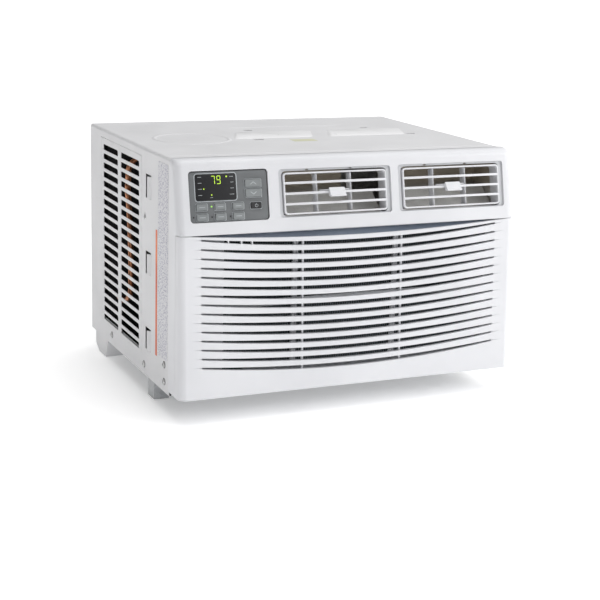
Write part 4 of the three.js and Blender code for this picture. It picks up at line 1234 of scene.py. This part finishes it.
def compressor():
    """The welded shell with its dome, the stub on top and three feet with their nuts."""
    radius, (x, y) = COMPRESSOR_RADIUS, COMPRESSOR_AXIS
    profile = [(0, 8), (radius - 14, 8), (radius - 4, 12), (radius, 22), (radius, 92), (radius, 94)]
    profile += [(radius, SHOULDER_Z)]
    profile += [(radius * math.cos(a), SHOULDER_Z + DOME_RISE * math.sin(a)) for a in (0.3, 0.6, 0.9, 1.2)]
    profile += [(0, SHOULDER_Z + 28.5)]
    shell = turned(profile, 64, (*COMPRESSOR_AXIS, 0))
    stub = turned([(0, 186), (5, 186), (5, 194), (0, 194)], 16, (*COMPRESSOR_AXIS, 0))
    lugs = []
    for turn in LUG_TURNS:
        angle = turn * math.pi
        u, v = x + LUG_REACH * math.cos(angle), y + LUG_REACH * math.sin(angle)
        lugs.append(turned([(0, 7), (LUG_RADIUS, 7), (LUG_RADIUS, 10), (0, 10)], 24, (u, v, 0)))
        lugs.append(along_z([(x - 12, y - 12), (x + 12, y - 12), (u, v)], 7, 10))
        lugs.append(turned([(0, 10.2), (5, 10.2), (5, 14), (0, 14)], 6, (u, v, 0)))
    return combined(shell, stub, *lugs)


piece("compressor_shell", compressor(), M["enamel"], replaces=["compressor"])

# ---- Camera, floor and light ----
CAMERA_PLACE = UNIT @ Vector((-783.48, -1601.66, 546.08))
CAMERA_YAW, CAMERA_PITCH, CAMERA_ROLL = (math.radians(turn) for turn in (-24.388, 14.092, 1.697))
CAMERA_LENS, SENSOR = 84.75, 36.0


def make_camera():
    data = bpy.data.cameras.new("camera")
    data.lens, data.sensor_width = CAMERA_LENS, SENSOR
    data.clip_end = 50
    camera = bpy.data.objects.new("camera", data)
    level = math.cos(CAMERA_PITCH)
    ahead = Vector((-math.sin(CAMERA_YAW) * level, math.cos(CAMERA_YAW) * level, -math.sin(CAMERA_PITCH)))
    right = Vector((math.cos(CAMERA_YAW), math.sin(CAMERA_YAW), 0))
    up = right.cross(ahead)
    turn_right = right * math.cos(CAMERA_ROLL) + up * math.sin(CAMERA_ROLL)
    turn_up = up * math.cos(CAMERA_ROLL) - right * math.sin(CAMERA_ROLL)
    pose = Matrix((turn_right, turn_up, -ahead)).transposed().to_4x4()
    pose.translation = CAMERA_PLACE
    camera.matrix_world = pose
    bpy.context.scene.collection.objects.link(camera)
    bpy.context.scene.camera = camera


FLOOR_REACH, FLOOR_LIFT, FLOOR_GLOW = 30, 0.19, 0.22


def make_floor():
    """A floor that is a little brighter than white paint, so that it leaves the picture white."""
    shader = Shader("studio_floor", (0.93, 0.93, 0.93), 0.9)
    shader.color(shader.noise(3, 2), (0.3, (0.92, 0.92, 0.92)), (0.7, (0.94, 0.94, 0.94)))
    shader.set("Emission Color", (1, 1, 1, 1))
    shader.set("Emission Strength", FLOOR_LIFT)
    glow = shader.tree.nodes.new("ShaderNodeBsdfDiffuse")
    glow.inputs["Color"].default_value = (FLOOR_GLOW, FLOOR_GLOW, FLOOR_GLOW, 1)
    both = shader.tree.nodes.new("ShaderNodeAddShader")
    shader.tree.links.new(shader.surface.outputs["BSDF"], both.inputs[0])
    shader.tree.links.new(glow.outputs["BSDF"], both.inputs[1])
    shader.tree.links.new(both.outputs["Shader"], shader.tree.nodes["Material Output"].inputs["Surface"])
    corners = [(u * FLOOR_REACH, v * FLOOR_REACH, 0) for u, v in ((-1, -1), (1, -1), (1, 1), (-1, 1))]
    mesh = mesh_of(corners, [(0, 1, 2, 3)])
    mesh.materials.append(shader.material)
    floor = bpy.data.objects.new("studio_floor", mesh)
    bpy.context.scene.collection.objects.link(floor)


KEY_PLACE, KEY_TARGET, KEY_SIZE, KEY_POWER = Vector((1.0, -0.9, 0.8)), Vector((0.05, -0.1, 0.2)), 0.8, 5.0
SUN_WAY, SUN_POWER, SUN_SPREAD = Vector((-0.1, 0.1, -1)), 1.1, math.radians(50)
TOP_LIGHT, RIGHT_LIGHT = 0.66, 0.66


def aimed(name, data, way, place=(0, 0, 0)):
    """Puts a light in the scene, shining along a direction."""
    light = bpy.data.objects.new(name, data)
    light.location = place
    light.rotation_euler = way.to_track_quat("-Z", "Y").to_euler()
    bpy.context.scene.collection.objects.link(light)


make_camera()
make_floor()
key = bpy.data.lights.new("key_light", "AREA")
key.shape, key.size, key.energy = "DISK", KEY_SIZE, KEY_POWER
aimed("key_light", key, KEY_TARGET - KEY_PLACE, KEY_PLACE)
sun = bpy.data.lights.new("overhead", "SUN")
sun.energy, sun.angle = SUN_POWER, SUN_SPREAD
aimed("overhead", sun, SUN_WAY)


def make_world():
    """Soft studio light from above and from the right."""
    world = bpy.data.worlds.new("studio")
    world.use_nodes = True
    tree = world.node_tree
    place = tree.nodes.new("ShaderNodeTexCoord")
    add = tree.nodes.new("ShaderNodeMath")
    for i, (direction, strength) in enumerate((((0, 0, 1), TOP_LIGHT), ((1, 0, 0), RIGHT_LIGHT))):
        lobe = tree.nodes.new("ShaderNodeVectorMath")
        lobe.operation = "DOT_PRODUCT"
        lobe.inputs[1].default_value = direction
        level = tree.nodes.new("ShaderNodeMapRange")
        level.inputs["To Max"].default_value = strength
        tree.links.new(place.outputs["Generated"], lobe.inputs[0])
        tree.links.new(lobe.outputs["Value"], level.inputs["Value"])
        tree.links.new(level.outputs["Result"], add.inputs[i])
    tree.links.new(add.outputs["Value"], tree.nodes["Background"].inputs["Strength"])
    tree.nodes["Background"].inputs["Color"].default_value = (1, 1, 1, 1)
    bpy.context.scene.world = world


make_world()
bpy.context.scene.view_settings.view_transform = "Standard"
